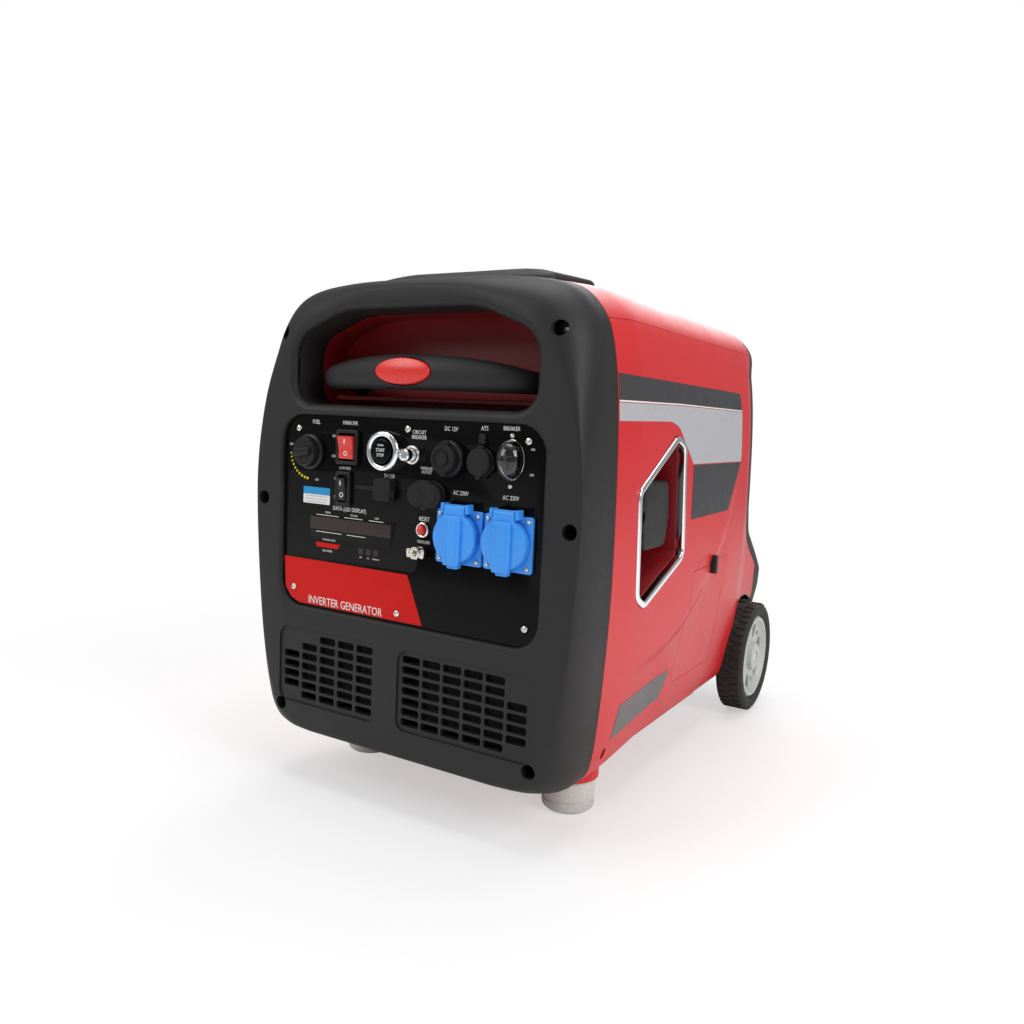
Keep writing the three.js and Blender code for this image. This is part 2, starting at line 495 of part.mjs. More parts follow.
// Mains sockets: a square plate with a round well, and a sprung lid hinged at the top.
const LID = { back: -0.4, front: -10, hingeZ: 26.5, hingeY: -5, barrel: 3.8 };
for (const [name, x] of [["left", SOCKETS.left], ["right", SOCKETS.right]]) {
  const { z, plate: size, cup, lid } = SOCKETS;
  const ears = [-1, 1].map((side) => block([x + side * 13.2 - 1.6, x + side * 13.2 + 1.6], [-9, 1],
    [z + 22, z + 31]));
  const body = unite([slabY(plate(x, z, size, size, 3), 0, LEDGE, 2), rodY(x, z, cup + 3, 2, 40), ...ears]);
  add("socket_" + name, body.subtract(rodY(x, z, cup, -3, 34)), BLUE);
  add("socket_lid_" + name, unite([
    rodY(x, z, lid, LID.front, LID.back, 32).subtract(block([x - 30, x + 30], [-20, 5],
      [z + 19.6, z + 40])),
    rodX(LID.hingeY, z + LID.hingeZ, LID.barrel, x - 11, x + 11, 16),
    block([x - 11, x + 11], [LID.front + 1, LID.hingeY + 2], [z + 15, z + LID.hingeZ]),
    block([x - 8.5, x + 8.5], [LID.front - 2.5, LID.front + 1], [z - 25, z + 20]),
    block([x - 6, x + 6], [LID.front, LID.back - 2], [z - 28, z - 20]),
  ]), BLUE);
}

// ---------------------------------------------------------------- recoil starter
const { y: GRIP_Y, z: GRIP_Z } = STARTER;
add("starter_trim", slabX(window(0), 186, 197).subtract(slabX(window(STARTER.trimWidth), 180, 200)),
  CHROME);
add("starter_recess", cut(slabX(window(2), STARTER.floor, 185.6), [
  slabX(window(STARTER.trimWidth), STARTER.floor + 3, 200),
  rodX(GRIP_Y, GRIP_Z, 4, 140, 160, 14),
]), RED);
// D-shaped grip with finger scallops along its front edge.
const GRIP_OUTLINE = [[156, 264], [214, 264], [222, 296], [216, 334], [158, 334], [150, 299]];
const scallops = [278, 299, 320].map((z) => rodX(146, z, 9, 150, 210, 18));
add("starter_grip", cut(slabX(rounded(GRIP_OUTLINE, 10), 160, 184), scallops), BLACK);
add("starter_rope", rodX(GRIP_Y, GRIP_Z, 2, 136, 159.7, 8), PALE);
add("recoil_pulley", rodX(CRANK.y, CRANK.z, 42, 118, 134, 28), GREY);

// ---------------------------------------------------------------- inside the casing
const engineBlock = unite([
  block([-70, 74], [150, 330], [75, 285]),
  rodX(310, 140, 10, 60, 150, 16),
  block([-42, 42], [320, 352], [180, 270]),
  ...Array.from({ length: 6 }, (_, i) => block([-58, 58], [354 + i * 13, 360 + i * 13], [166, 284])),
  block([-40, 40], [340, 436], [182, 268]),
]);
add("engine", cut(engineBlock, [rodX(CRANK.y, CRANK.z, 13, -100, 100)]), ALUMINIUM);
add("crankshaft", unite([
  rodX(CRANK.y, CRANK.z, 12, -112, 117),
  rodX(CRANK.y, CRANK.z, 62, -112, -74, 32),
  rodX(CRANK.y, CRANK.z, 70, 80, 110, 32),
]), STEEL);
add("fuel_tank", unite([
  slabZ(plate(0, 275, 190, 330, 30), 408, 505),
  rodZ(FUEL.x, FUEL.y, FUEL.neck, 500, 527.6),
]), BLACK);
add("muffler", unite([slabX(plate(474, 300, 70, 110, 26), 20, 150), rodY(90, 330, 18, 490, 530)]), STEEL);
add("inverter_module", unite([
  block([-150, -16], [100, 135], [75, 178]),
  ...Array.from({ length: 9 }, (_, i) => block([-146 + i * 15, -142 + i * 15], [80, 101], [78, 176])),
]), ALUMINIUM);
add("battery", slabZ(plate(90, 115, 110, 66, 4), 60, 160, 2), BLACK);

export default generator;
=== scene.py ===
"""The looks of a portable inverter generator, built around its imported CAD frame.

Shapes are written in millimetres: x from the middle towards the right, y from the front face
towards the rear, z up from the ground. place() turns them into the frame's metres.
"""
import math
import bmesh
import bpy
import numpy as np
from mathutils import Matrix, Vector


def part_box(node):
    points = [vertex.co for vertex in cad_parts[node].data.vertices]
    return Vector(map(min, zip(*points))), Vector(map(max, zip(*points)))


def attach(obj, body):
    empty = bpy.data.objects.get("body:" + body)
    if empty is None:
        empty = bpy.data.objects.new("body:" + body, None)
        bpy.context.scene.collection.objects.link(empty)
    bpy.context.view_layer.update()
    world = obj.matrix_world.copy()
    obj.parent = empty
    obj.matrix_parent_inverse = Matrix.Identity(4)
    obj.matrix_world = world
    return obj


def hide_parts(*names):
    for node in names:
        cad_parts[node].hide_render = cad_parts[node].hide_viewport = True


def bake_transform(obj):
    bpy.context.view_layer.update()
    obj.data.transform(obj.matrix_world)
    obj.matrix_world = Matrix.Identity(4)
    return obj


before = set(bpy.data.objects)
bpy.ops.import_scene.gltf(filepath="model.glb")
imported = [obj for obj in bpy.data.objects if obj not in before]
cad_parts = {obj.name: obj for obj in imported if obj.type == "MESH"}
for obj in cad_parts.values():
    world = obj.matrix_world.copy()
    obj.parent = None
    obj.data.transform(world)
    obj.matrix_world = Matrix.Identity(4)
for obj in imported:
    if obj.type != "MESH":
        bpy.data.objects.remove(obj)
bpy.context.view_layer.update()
MM = 0.001
FACE_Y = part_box("front_cover")[0].y


# ---------------------------------------------------------------- shader expressions
class Value:
    """A shader socket whose operators add Math nodes."""

    def __init__(self, finish, socket):
        self.finish = finish
        self.socket = socket

    def math(self, operation, *others):
        node = self.finish.node("ShaderNodeMath", {"operation": operation}, [self, *others])
        return Value(self.finish, node.outputs[0])

    def __add__(self, other): return self.math("ADD", other)
    def __radd__(self, other): return self.math("ADD", other)
    def __sub__(self, other): return self.math("SUBTRACT", other)
    def __rsub__(self, other): return (self * -1.0).math("ADD", other)
    def __mul__(self, other): return self.math("MULTIPLY", other)
    def __rmul__(self, other): return self.math("MULTIPLY", other)
    def __truediv__(self, other): return self.math("DIVIDE", other)
    def __abs__(self): return self.math("ABSOLUTE")

    def between(self, low, high, start=0.0, end=1.0):
        """Goes smoothly from start to end as the value goes from low to high."""
        node = self.finish.node("ShaderNodeMapRange", {"interpolation_type": "SMOOTHSTEP"},
                                {"Value": self, "From Min": low, "From Max": high, "To Min": start,
                                 "To Max": end})
        return Value(self.finish, node.outputs["Result"])


class Finish:
    """A material: a Principled shader and the nodes that feed it."""

    def __init__(self, name, **constants):
        self.material = bpy.data.materials.new(name)
        self.material.use_nodes = True
        self.tree = self.material.node_tree
        self.tree.nodes.clear()
        self.shader = self.node("ShaderNodeBsdfPrincipled", {}, constants)
        self.output = self.node("ShaderNodeOutputMaterial", {}, {"Surface": self.shader.outputs[0]})
        self.coordinates = self.node("ShaderNodeTexCoord").outputs["Object"]

    def node(self, kind, settings=(), inputs=()):
        node = self.tree.nodes.new(kind)
        for key, value in dict(settings).items():
            setattr(node, key, value)
        pairs = inputs.items() if isinstance(inputs, dict) else enumerate(inputs)
        for key, value in pairs:
            self.feed(node.inputs[key], value)
        return node

    def feed(self, socket, value):
        if isinstance(value, Value):
            value = value.socket
        if isinstance(value, bpy.types.NodeSocket):
            self.tree.links.new(value, socket)
        else:
            socket.default_value = value

    def noise(self, scale, detail=2.0, stretch=(1, 1, 1)):
        vector = self.coordinates
        if tuple(stretch) != (1, 1, 1):
            vector = self.node("ShaderNodeMapping", {}, {"Vector": vector, "Scale": stretch}).outputs[0]
        node = self.node("ShaderNodeTexNoise", {}, {"Vector": vector, "Scale": scale, "Detail": detail})
        return Value(self, node.outputs["Fac"])

    def cells(self, scale):
        node = self.node("ShaderNodeTexVoronoi", {}, {"Vector": self.coordinates, "Scale": scale})
        return Value(self, node.outputs["Distance"])

    def axis(self, letter):
        split = self.node("ShaderNodeSeparateXYZ", {}, [self.coordinates])
        return Value(self, split.outputs["XYZ".index(letter)])

    def mix(self, factor, first, second):
        node = self.node("ShaderNodeMix", {"data_type": "RGBA"})
        for index, value in ((0, factor), (6, first), (7, second)):
            self.feed(node.inputs[index], value)
        return node.outputs[2]

    def bump(self, height, distance, strength=1.0):
        node = self.node("ShaderNodeBump", {}, {"Height": height, "Distance": distance, "Strength": strength})
        self.feed(self.shader.inputs["Normal"], node.outputs[0])

    def set(self, **links):
        for key, value in links.items():
            self.feed(self.shader.inputs[key.replace("_", " ")], value)
        return self


def shade(color, factor):
    return (*(min(1.0, c * factor) for c in color[:3]), 1.0)


def plastic(name, color, roughness, grain=1300, depth=0.00003, blotch=0.10, spread=0.08, specular=0.5,
            dust=0.012):
    """Moulded plastic or rubber: a spark-eroded grain, faint flow blotches and a little settled dust."""
    finish = Finish(name, **{"Specular IOR Level": specular})
    cloud = finish.noise(9.0, 4.0)
    speck = finish.noise(240.0, 2.0)
    tone = (cloud * 0.7 + speck * 0.3).between(0.35, 0.65)
    color_now = finish.mix(tone, shade(color, 1 - blotch), shade(color, 1 + blotch))
    normal = finish.node("ShaderNodeNewGeometry").outputs["Normal"]
    up = Value(finish, finish.node("ShaderNodeSeparateXYZ", {}, [normal]).outputs[2])
    settled = up.between(0.6, 1.0) * finish.noise(60.0, 5.0).between(0.42, 0.7) * dust
    dusty = finish.mix(settled, color_now, (0.45, 0.42, 0.38, 1))
    pits = finish.cells(grain) + finish.noise(grain * 0.55, 3.0) * 0.8
    finish.bump(pits, depth)
    return finish.set(Base_Color=dusty,
                      Roughness=tone.between(0, 1, roughness - spread / 2, roughness + spread / 2)
                      + settled * 0.5).material


def metal(name, color, roughness, stretch=(1, 1, 1), scratch=0.00001, wear=0.06):
    """Plated, brushed or cast metal: fine lines or grain, and uneven polish."""
    finish = Finish(name, **{"Metallic": 1.0})
    lines = finish.noise(900.0, 4.0, stretch)
    patch = finish.noise(35.0, 4.0)
    tone = (lines * 0.5 + patch * 0.5).between(0.35, 0.65)
    finish.bump(lines, scratch)
    return finish.set(Base_Color=finish.mix(tone, shade(color, 1 - wear), shade(color, 1 + wear)),
                      Roughness=tone.between(0, 1, max(0.02, roughness - 0.05), roughness + 0.07)).material


def print_ink(name, color, roughness=0.35, specular=0.15):
    """Screen-printed ink or label film: slightly uneven cover."""
    finish = Finish(name, **{"Specular IOR Level": specular})
    cover = finish.noise(700.0, 3.0).between(0.3, 0.7)
    smear = finish.noise(30.0, 3.0).between(0.3, 0.7, roughness - 0.06, roughness + 0.06)
    finish.bump(finish.noise(1500.0, 2.0), 0.000006)
    return finish.set(Base_Color=finish.mix(cover, shade(color, 0.9), shade(color, 1.05)),
                      Roughness=smear).material


def clear_plastic(name):
    """Clear flexible dome with faint ripples."""
    finish = Finish(name, **{"Transmission Weight": 1.0, "IOR": 1.4, "Base Color": (0.97, 0.98, 0.98, 1)})
    finish.bump(finish.noise(120.0, 2.0), 0.000012)
    return finish.set(Roughness=finish.noise(300.0, 3.0).between(0.3, 0.7, 0.01, 0.05)).material


RED = plastic("casing_red", (0.58, 0.012, 0.016), 0.36, grain=1700, depth=0.000022, blotch=0.03,
              specular=0.45)
# Painted shade: a darker red than the casing for the insides of the handle and starter recesses, where shade
# falls.
RECESS_RED_PAINTED_SHADE = plastic("recess_red_painted_shade", (0.25, 0.007, 0.010), 0.42, grain=1500, depth=0.00003, blotch=0.06)
BUTTON_RED = plastic("button_red", (0.70, 0.03, 0.022), 0.28, grain=2600, depth=0.00001, blotch=0.05,
                     dust=0.02)
BLACK = plastic("cover_black", (0.0175, 0.0165, 0.0165), 0.52, grain=1000, depth=0.00006, blotch=0.06,
                specular=0.3)
DARK = plastic("control_black", (0.011, 0.011, 0.0115), 0.36, grain=2200, depth=0.00002, blotch=0.08,
               specular=0.3)
GLOSS = plastic("panel_gloss", (0.0035, 0.0032, 0.0034), 0.16, grain=3000, depth=0.000004, blotch=0.15,
                spread=0.05, specular=0.1, dust=0.0)
GREY = plastic("hub_grey", (0.50, 0.51, 0.50), 0.45, grain=1400, depth=0.00003)
FOOT = plastic("foot_pale", (0.62, 0.62, 0.60), 0.6, grain=1200, depth=0.00005)
RUBBER = plastic("cap_rubber", (0.012, 0.012, 0.0125), 0.6, grain=1500, depth=0.00004, specular=0.22)
TYRE = plastic("tyre_rubber", (0.03, 0.029, 0.027), 0.75, grain=800, depth=0.00009, blotch=0.2,
               specular=0.3, dust=0.2)
BLUE = plastic("socket_blue", (0.045, 0.31, 0.88), 0.34, grain=1900, depth=0.000022, blotch=0.05)
CHROME = metal("trim_chrome", (0.86, 0.87, 0.88), 0.07, scratch=0.000003, wear=0.03)
SCREW = metal("screw_nickel", (0.72, 0.69, 0.63), 0.22)
STEEL = metal("tube_steel", (0.62, 0.63, 0.64), 0.24, stretch=(1, 0.03, 1))
CAST = metal("cast_aluminium", (0.58, 0.58, 0.59), 0.5, scratch=0.00012)
CLEAR = clear_plastic("dome_clear")
ROPE = plastic("starter_rope", (0.55, 0.54, 0.5), 0.85, grain=900, depth=0.0002)
INK_WHITE = print_ink("ink_white", (0.78, 0.78, 0.76))
INK_RED = print_ink("ink_red", (0.60, 0.007, 0.004), 0.3)
INK_YELLOW = print_ink("ink_yellow", (0.80, 0.66, 0.03))
FILM_GREY = print_ink("film_grey", (0.42, 0.42, 0.44), 0.4, 0.3)
FILM_DARK = print_ink("film_dark", (0.05, 0.05, 0.053), 0.4)
FILM_BLUE = print_ink("film_blue", (0.03, 0.30, 0.62))
FILM_PANEL = print_ink("film_panel", (0.0062, 0.005, 0.005), 0.26)
DISPLAY = print_ink("display_lens", (0.05, 0.035, 0.035), 0.24)
FILM_MANUAL = print_ink("film_manual", (0.15, 0.145, 0.145), 0.4)


# ---------------------------------------------------------------- meshes
def place(points):
    """Millimetres from the front face and the ground, as the frame's metres."""
    moved = np.asarray(points, float).reshape(-1, 3) * MM
    moved[:, 1] += FACE_Y
    return moved


def link(name, mesh):
    piece = bpy.data.objects.new(name, mesh)
    bpy.context.scene.collection.objects.link(piece)
    return piece


def tidy(piece, doubles=1e-7):
    """Merges doubles and turns the faces outwards."""
    edit = bmesh.new()
    edit.from_mesh(piece.data)
    bmesh.ops.remove_doubles(edit, verts=edit.verts, dist=doubles)
    bmesh.ops.recalc_face_normals(edit, faces=edit.faces)
    edit.to_mesh(piece.data)
    edit.free()
    return piece


def from_faces(name, points, faces):
    mesh = bpy.data.meshes.new(name)
    mesh.from_pydata(place(points).tolist(), [], faces)
    return tidy(link(name, mesh))


def applied(piece):
    """Applies the modifiers of a piece."""
    bpy.context.view_layer.update()
    final = piece.evaluated_get(bpy.context.evaluated_depsgraph_get())
    mesh = bpy.data.meshes.new_from_object(final)
    piece.modifiers.clear()
    piece.data = mesh
    return piece


def carve(piece, cutters, operation="DIFFERENCE"):
    for cutter in cutters:
        modifier = piece.modifiers.new("carve", "BOOLEAN")
        modifier.operation = operation
        modifier.solver = "EXACT"
        modifier.object = cutter
    applied(piece)
    for cutter in cutters:
        bpy.data.objects.remove(cutter)
    return piece


def join(name, pieces):
    """One piece from several, with all their faces."""
    edit = bmesh.new()
    for piece in pieces:
        edit.from_mesh(piece.data)
        bpy.data.objects.remove(piece)
    mesh = bpy.data.meshes.new(name)
    edit.to_mesh(mesh)
    edit.free()
    return link(name, mesh)


def done(piece, material, body, slot, *nodes, smooth=32):
    """Gives a finished piece its smooth shading, material and body, and hides the CAD nodes that it stands
    for; the slot is not used.
    """
    piece.data.shade_smooth()
    piece.data.set_sharp_from_angle(angle=math.radians(smooth))
    piece.data.materials.clear()
    piece.data.materials.append(material)
    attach(piece, body)
    if nodes:
        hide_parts(*nodes)
    return piece


# Outlines are lists of (a, b): (x, z) for axis y, (y, z) for axis x and (x, y) for axis z.
def arc_corner(before, corner, after, radius, steps):
    b, c, a = (np.array(p, float) for p in (before, corner, after))
    u, v = (b - c) / np.linalg.norm(b - c), (a - c) / np.linalg.norm(a - c)
    half = math.acos(np.clip(u @ v, -1, 1)) / 2
    limit = min(np.linalg.norm(b - c), np.linalg.norm(a - c)) * 0.498
    reach = min(radius / math.tan(half), limit)
    radius = reach * math.tan(half)
    centre = c + (u + v) / np.linalg.norm(u + v) * radius / math.sin(half)
    start, end = c + u * reach - centre, c + v * reach - centre
    turn = math.atan2(start[0] * end[1] - start[1] * end[0], start @ end)
    angles = np.linspace(0, turn, steps + 1)
    return [tuple(centre + np.array([start[0] * math.cos(t) - start[1] * math.sin(t),
                                     start[0] * math.sin(t) + start[1] * math.cos(t)])) for t in angles]


def rounded(corners, radius, steps=6):
    radii = radius if hasattr(radius, "__len__") else [radius] * len(corners)
    points = []
    for i, corner in enumerate(corners):
        after = corners[(i + 1) % len(corners)]
        points += arc_corner(corners[i - 1], corner, after, radii[i], steps)
    return points


def plate(a, b, width, height, radius, steps=6):
    w, h = width / 2, height / 2
    return rounded([(a - w, b - h), (a + w, b - h), (a + w, b + h), (a - w, b + h)], radius, steps)


def disc(a, b, radius, count=48, squash=1.0):
    return [(a + radius * math.cos(t), b + radius * squash * math.sin(t))
            for t in np.linspace(0, 2 * math.pi, count, endpoint=False)]


def grown(corners, distance):
    """Moves every corner of a polygon away from its middle."""
    middle = np.mean(corners, axis=0)
    spokes = [np.array(c) - middle for c in corners]
    return [tuple(middle + s * (1 + distance / np.linalg.norm(s))) for s in spokes]


SLAB_TURNS = {
    "x": Matrix(((0, 0, 1), (1, 0, 0), (0, 1, 0))),
    "y": Matrix(((1, 0, 0), (0, 0, -1), (0, 1, 0))), "z": Matrix.Identity(3), }


def slab(name, outline, low, high, axis="y", edge=0.0, holes=(), rings=2):
    """A plate with rounded rims: an outline, with holes, from low to high along one axis."""
    curve = bpy.data.curves.new(name, "CURVE")
    curve.dimensions = "2D"
    curve.fill_mode = "BOTH"
    for loop in (outline, *holes):
        spline = curve.splines.new("POLY")
        spline.points.add(len(loop) - 1)
        for point, (a, b) in zip(spline.points, loop):
            point.co = (a, b, 0, 1)
        spline.use_cyclic_u = True
    curve.extrude = (high - low) / 2 - edge
    curve.bevel_depth = edge
    curve.bevel_resolution = rings
    curve.offset = -edge
    source = bpy.data.objects.new(name, curve)
    bpy.context.scene.collection.objects.link(source)
    bpy.context.view_layer.update()
    mesh = bpy.data.meshes.new_from_object(source.evaluated_get(bpy.context.evaluated_depsgraph_get()))
    bpy.data.objects.remove(source)
    bpy.data.curves.remove(curve)
    points = np.array([SLAB_TURNS[axis] @ v.co for v in mesh.vertices])
    points[:, "xyz".index(axis)] += (low + high) / 2
    mesh.vertices.foreach_set("co", place(points).ravel())
    mesh.materials.clear()
    return tidy(link(name, mesh))


def lathe(name, profile, centre, axis="y", count=48):
    """Turns a profile of (radius, height) about an axis through centre."""
    angles = np.linspace(0, 2 * math.pi, count, endpoint=False)
    points, faces = [], []
    for radius, height in profile:
        for t in angles:
            a, b = radius * math.cos(t), radius * math.sin(t)
            local = {"x": (height, a, b), "y": (a, height, b), "z": (a, b, height)}[axis]
            points.append(np.array(centre, float) + local)
    for i in range(len(profile) - 1):
        for j in range(count):
            k = (j + 1) % count
            faces.append((i * count + j, i * count + k, (i + 1) * count + k, (i + 1) * count + j))
    return from_faces(name, points, faces)


def round_profile(radius, low, high, edge, dome=0.0, steps=4):
    """Profile of a button: flat back at low, rounded rim and a domed front at high."""
    sign = 1 if high > low else -1
    profile = [(0, low), (radius, low)]
    for t in np.linspace(0, math.pi / 2, steps + 1):
        profile.append((radius - edge + edge * math.cos(t), high - sign * edge * (1 - math.sin(t))))
    for r in np.linspace(radius - edge, 0, 5)[1:]:
        profile.append((r, high + sign * dome * (1 - (r / (radius - edge)) ** 2)))
    return profile


def loft(name, rings, closed_ends=True):
    """A skin over rings of points, one after the other."""
    count = len(rings[0])
    points = np.vstack(rings)
    faces = [(i * count + j, i * count + (j + 1) % count, (i + 1) * count + (j + 1) % count,
              (i + 1) * count + j)
             for i in range(len(rings) - 1) for j in range(count)]
    if closed_ends:
        faces += [tuple(range(count)), tuple(range(len(points) - count, len(points)))]
    return from_faces(name, points, faces)


# ---------------------------------------------------------------- geometry nodes
def repeat_tree():
    """Puts copies of an item on a mesh's points, turned and sized by the points' attributes."""
    tree = bpy.data.node_groups.new("repeat_on_points", "GeometryNodeTree")
    tree.interface.new_socket("Geometry", in_out="INPUT", socket_type="NodeSocketGeometry")
    tree.interface.new_socket("Item", in_out="INPUT", socket_type="NodeSocketObject")
    tree.interface.new_socket("Material", in_out="INPUT", socket_type="NodeSocketMaterial")
    tree.interface.new_socket("Geometry", in_out="OUTPUT", socket_type="NodeSocketGeometry")
    new, wire = tree.nodes.new, tree.links.new
    given, result = new("NodeGroupInput"), new("NodeGroupOutput")
    item = new("GeometryNodeObjectInfo")
    wire(given.outputs["Item"], item.inputs["Object"])
    copies = new("GeometryNodeInstanceOnPoints")
    for name, socket, through in (("turn", "Rotation", "FunctionNodeEulerToRotation"),
                                  ("size", "Scale", None)):
        attribute = new("GeometryNodeInputNamedAttribute")
        attribute.data_type = "FLOAT_VECTOR"
        attribute.inputs["Name"].default_value = name
        source = attribute.outputs["Attribute"]
        if through:
            turned = new(through)
            wire(source, turned.inputs[0])
            source = turned.outputs[0]
        wire(source, copies.inputs[socket])
    wire(given.outputs["Geometry"], copies.inputs["Points"])
    wire(item.outputs["Geometry"], copies.inputs["Instance"])
    real, painted = new("GeometryNodeRealizeInstances"), new("GeometryNodeSetMaterial")
    wire(copies.outputs[0], real.inputs[0])
    wire(real.outputs[0], painted.inputs[0])
    wire(given.outputs["Material"], painted.inputs["Material"])
    wire(painted.outputs[0], result.inputs[0])
    return tree


REPEAT = repeat_tree()


def repeat(name, item, places, material):
    """Copies of item, an unplaced object in metres, at (point, turn, size); points are in millimetres."""
    mesh = bpy.data.meshes.new(name)
    mesh.from_pydata(place([p for p, _, _ in places]).tolist(), [], [])
    for key, index in (("turn", 1), ("size", 2)):
        values = np.array([entry[index] for entry in places], float)
        mesh.attributes.new(key, "FLOAT_VECTOR", "POINT").data.foreach_set("vector", values.ravel())
    piece = link(name, mesh)
    modifier = piece.modifiers.new("repeat", "NODES")
    modifier.node_group = REPEAT
    sockets = {s.name: s.identifier for s in REPEAT.interface.items_tree if s.in_out == "INPUT"}
    modifier[sockets["Item"]] = item
    modifier[sockets["Material"]] = material
    applied(piece)
    bpy.data.objects.remove(item)
    return piece


def loose(piece):
    """Moves a piece built about the front face's origin to the frame's own origin, as an item to repeat."""
    piece.data.transform(Matrix.Translation((0, -FACE_Y, 0)))
    return piece


def screw_item(radius=3.6):
    """A pan head with a cross recess on a washer, facing -y."""
    head = lathe("head", round_profile(radius, 0.4, -2.1, 1.5, dome=0.5), (0, 0, 0), "y", 24)
    arms = [slab("arm", plate(0, 0, radius * 1.25, radius * 0.3, 0.3, 2), -4, -1.3),
            slab("arm", plate(0, 0, radius * 0.3, radius * 1.25, 0.3, 2), -4, -1.3)]
    washer = lathe("washer", round_profile(radius * 1.3, 0.9, 0.0, 0.3), (0, 0, 0), "y", 28)
    return loose(join("screw_item", [carve(head, arms), washer]))


def screws(name, points, body, radius=3.6, turn=(0, 0, 0)):
    """Screws at (x, y, z); each is turned a little differently about its own axis."""
    places = [(p, (turn[0], turn[1] + 0.7 * i, turn[2]), (1, 1, 1)) for i, p in enumerate(points)]
    return done(repeat(name, screw_item(radius), places, SCREW), SCREW, body, "steel")


# ---------------------------------------------------------------- the casing's form
FULL_SECTION = [(0, 519), (90, 518), (142, 511), (168, 492), (182, 462), (190, 400), (193, 300), (192, 200),
                (184, 90), (172, 58), (148, 50)]
FACE_SECTION = [(0, 505), (55, 502), (92, 491), (132, 470), (154, 436), (178, 395), (190, 325), (186, 229),
                (175, 144), (158, 90), (136, 68), (108, 62)]
HALF_COUNT = 184
EDGE_DEPTH = 48.0
SEAM_Y = 62.0
WALL = 3.6
MIDDLE_Z = 285.0


def half_outline(points):
    """A smooth line through the points, then straight to the bottom middle, in even steps."""
    p = np.array(points, float)
    spans = []
    for i in range(len(p) - 1):
        p0, p1, p2, p3 = p[max(i - 1, 0)], p[i], p[i + 1], p[min(i + 2, len(p) - 1)]
        t = np.linspace(0, 1, 30, endpoint=False)[:, None]
        v0, v1 = (p2 - p0) / 2, (p3 - p1) / 2
        cubic, square = 2 * p1 - 2 * p2 + v0 + v1, 3 * p2 - 3 * p1 - 2 * v0 - v1
        spans.append(cubic * t**3 + square * t**2 + v0 * t + p1)
    line = np.vstack(spans + [p[-1:], [[0, p[-1][1]]]])
    along = np.concatenate([[0], np.cumsum(np.linalg.norm(np.diff(line, axis=0), axis=1))])
    even = np.linspace(0, along[-1], HALF_COUNT + 1)
    return np.column_stack([np.interp(even, along, line[:, 0]), np.interp(even, along, line[:, 1])])


FULL, FACE = half_outline(FULL_SECTION), half_outline(FACE_SECTION)


def ramp(value, low, high):
    return np.clip((value - low) / (high - low), 0, 1)


def ease(t):
    return t * t * (3 - 2 * t)


# The sides have a sweeping step: behind and below this line the panel lies a little deeper.
SWEEP = np.array([(70, 150), (150, 156), (215, 163), (268, 180), (314, 209), (350, 234), (388, 270),
                  (421, 325), (444, 385), (460, 440), (471, 520)], float)
SWEEP_DEPTH = 8.5


def sweep_side(y, z):
    """How far a point of the side lies behind the sweep line, in millimetres."""
    best = np.full(np.shape(y), 1e9)
    side = np.zeros(np.shape(y))
    for (ay, az), (by, bz) in zip(SWEEP[:-1], SWEEP[1:]):
        dy, dz = by - ay, bz - az
        t = np.clip(((y - ay) * dy + (z - az) * dz) / (dy * dy + dz * dz), 0, 1)
        away = np.hypot(y - ay - t * dy, z - az - t * dz)
        closer = away < best
        best = np.where(closer, away, best)
        side = np.where(closer, np.sign((y - ay) * dz - (z - az) * dy), side)
    return best * side


def sweep_depth(y, z):
    behind = sweep_side(y, z)
    width = 9 + 15 * ramp(y, 90, 330)
    fade = ease(ramp(y, 75, 240)) * (1 - ease(ramp(z, 455, 500)))
    return SWEEP_DEPTH * fade * np.clip(behind / width, 0, 1)


def section(y, inset=0.0):
    """Right half of the casing's section at y, from the top middle to the bottom middle."""
    edge = 1 - math.sqrt(1 - (1 - float(ramp(y, 0, EDGE_DEPTH))) ** 2)
    point = FULL * (1 - edge) + FACE * edge
    crown = ramp(y, EDGE_DEPTH, 110)
    rear = ramp(y, 490, 538) * 9
    x = point[:, 0] * (1 + (crown * 2 - rear) / 193)
    lift = np.where(point[:, 1] > MIDDLE_Z, crown * 5 * (point[:, 1] - MIDDLE_Z) / 234, 0)
    z = MIDDLE_Z + (point[:, 1] + lift - MIDDLE_Z) * (1 - inset / 234.5)
    on_side = ramp(x, 120, 165)
    x = x * (1 - inset / 193) - sweep_depth(np.full(len(z), float(y)), z) * on_side
    return np.column_stack([x, z])


def ring(y, inset=0.0, at=None):
    """The casing's whole section at y, as points at height y or at the given y."""
    half = section(y, inset)
    whole = np.vstack([half, half[-2:0:-1] * (-1, 1)])
    return np.column_stack([whole[:, 0], np.full(len(whole), y if at is None else at), whole[:, 1]])


def skin(name, line, stations, wall=WALL):
    """A curved panel: line(y, inset) gives its points at each station, outside and wall deeper."""
    outside = [line(y, 0.0) for y in stations]
    inside = [line(y, wall) for y in stations]
    rows, count = len(stations), len(outside[0])
    points = np.vstack(outside + inside)
    back = rows * count
    faces = []
    for i in range(rows - 1):
        for j in range(count - 1):
            a, b, c, d = i * count + j, i * count + j + 1, (i + 1) * count + j + 1, (i + 1) * count + j
            faces += [(a, b, c, d), (back + d, back + c, back + b, back + a)]
        for j in (0, count - 1):
            a, d = i * count + j, (i + 1) * count + j
            faces.append((a, d, back + d, back + a))
    for i in (0, rows - 1):
        for j in range(count - 1):
            a = i * count + j
            faces.append((a, a + 1, back + a + 1, back + a))
    return from_faces(name, points, faces)


def flank_line(side):
    """The side panel's points at one station: from under the top seam to the floor flange."""
    start, end = int(HALF_COUNT * 0.24), int(HALF_COUNT * 0.86)

    def line(y, inset):
        half = section(y, inset)[start:end]
        return np.column_stack([half[:, 0] * side, np.full(len(half), y), half[:, 1]])
    return line


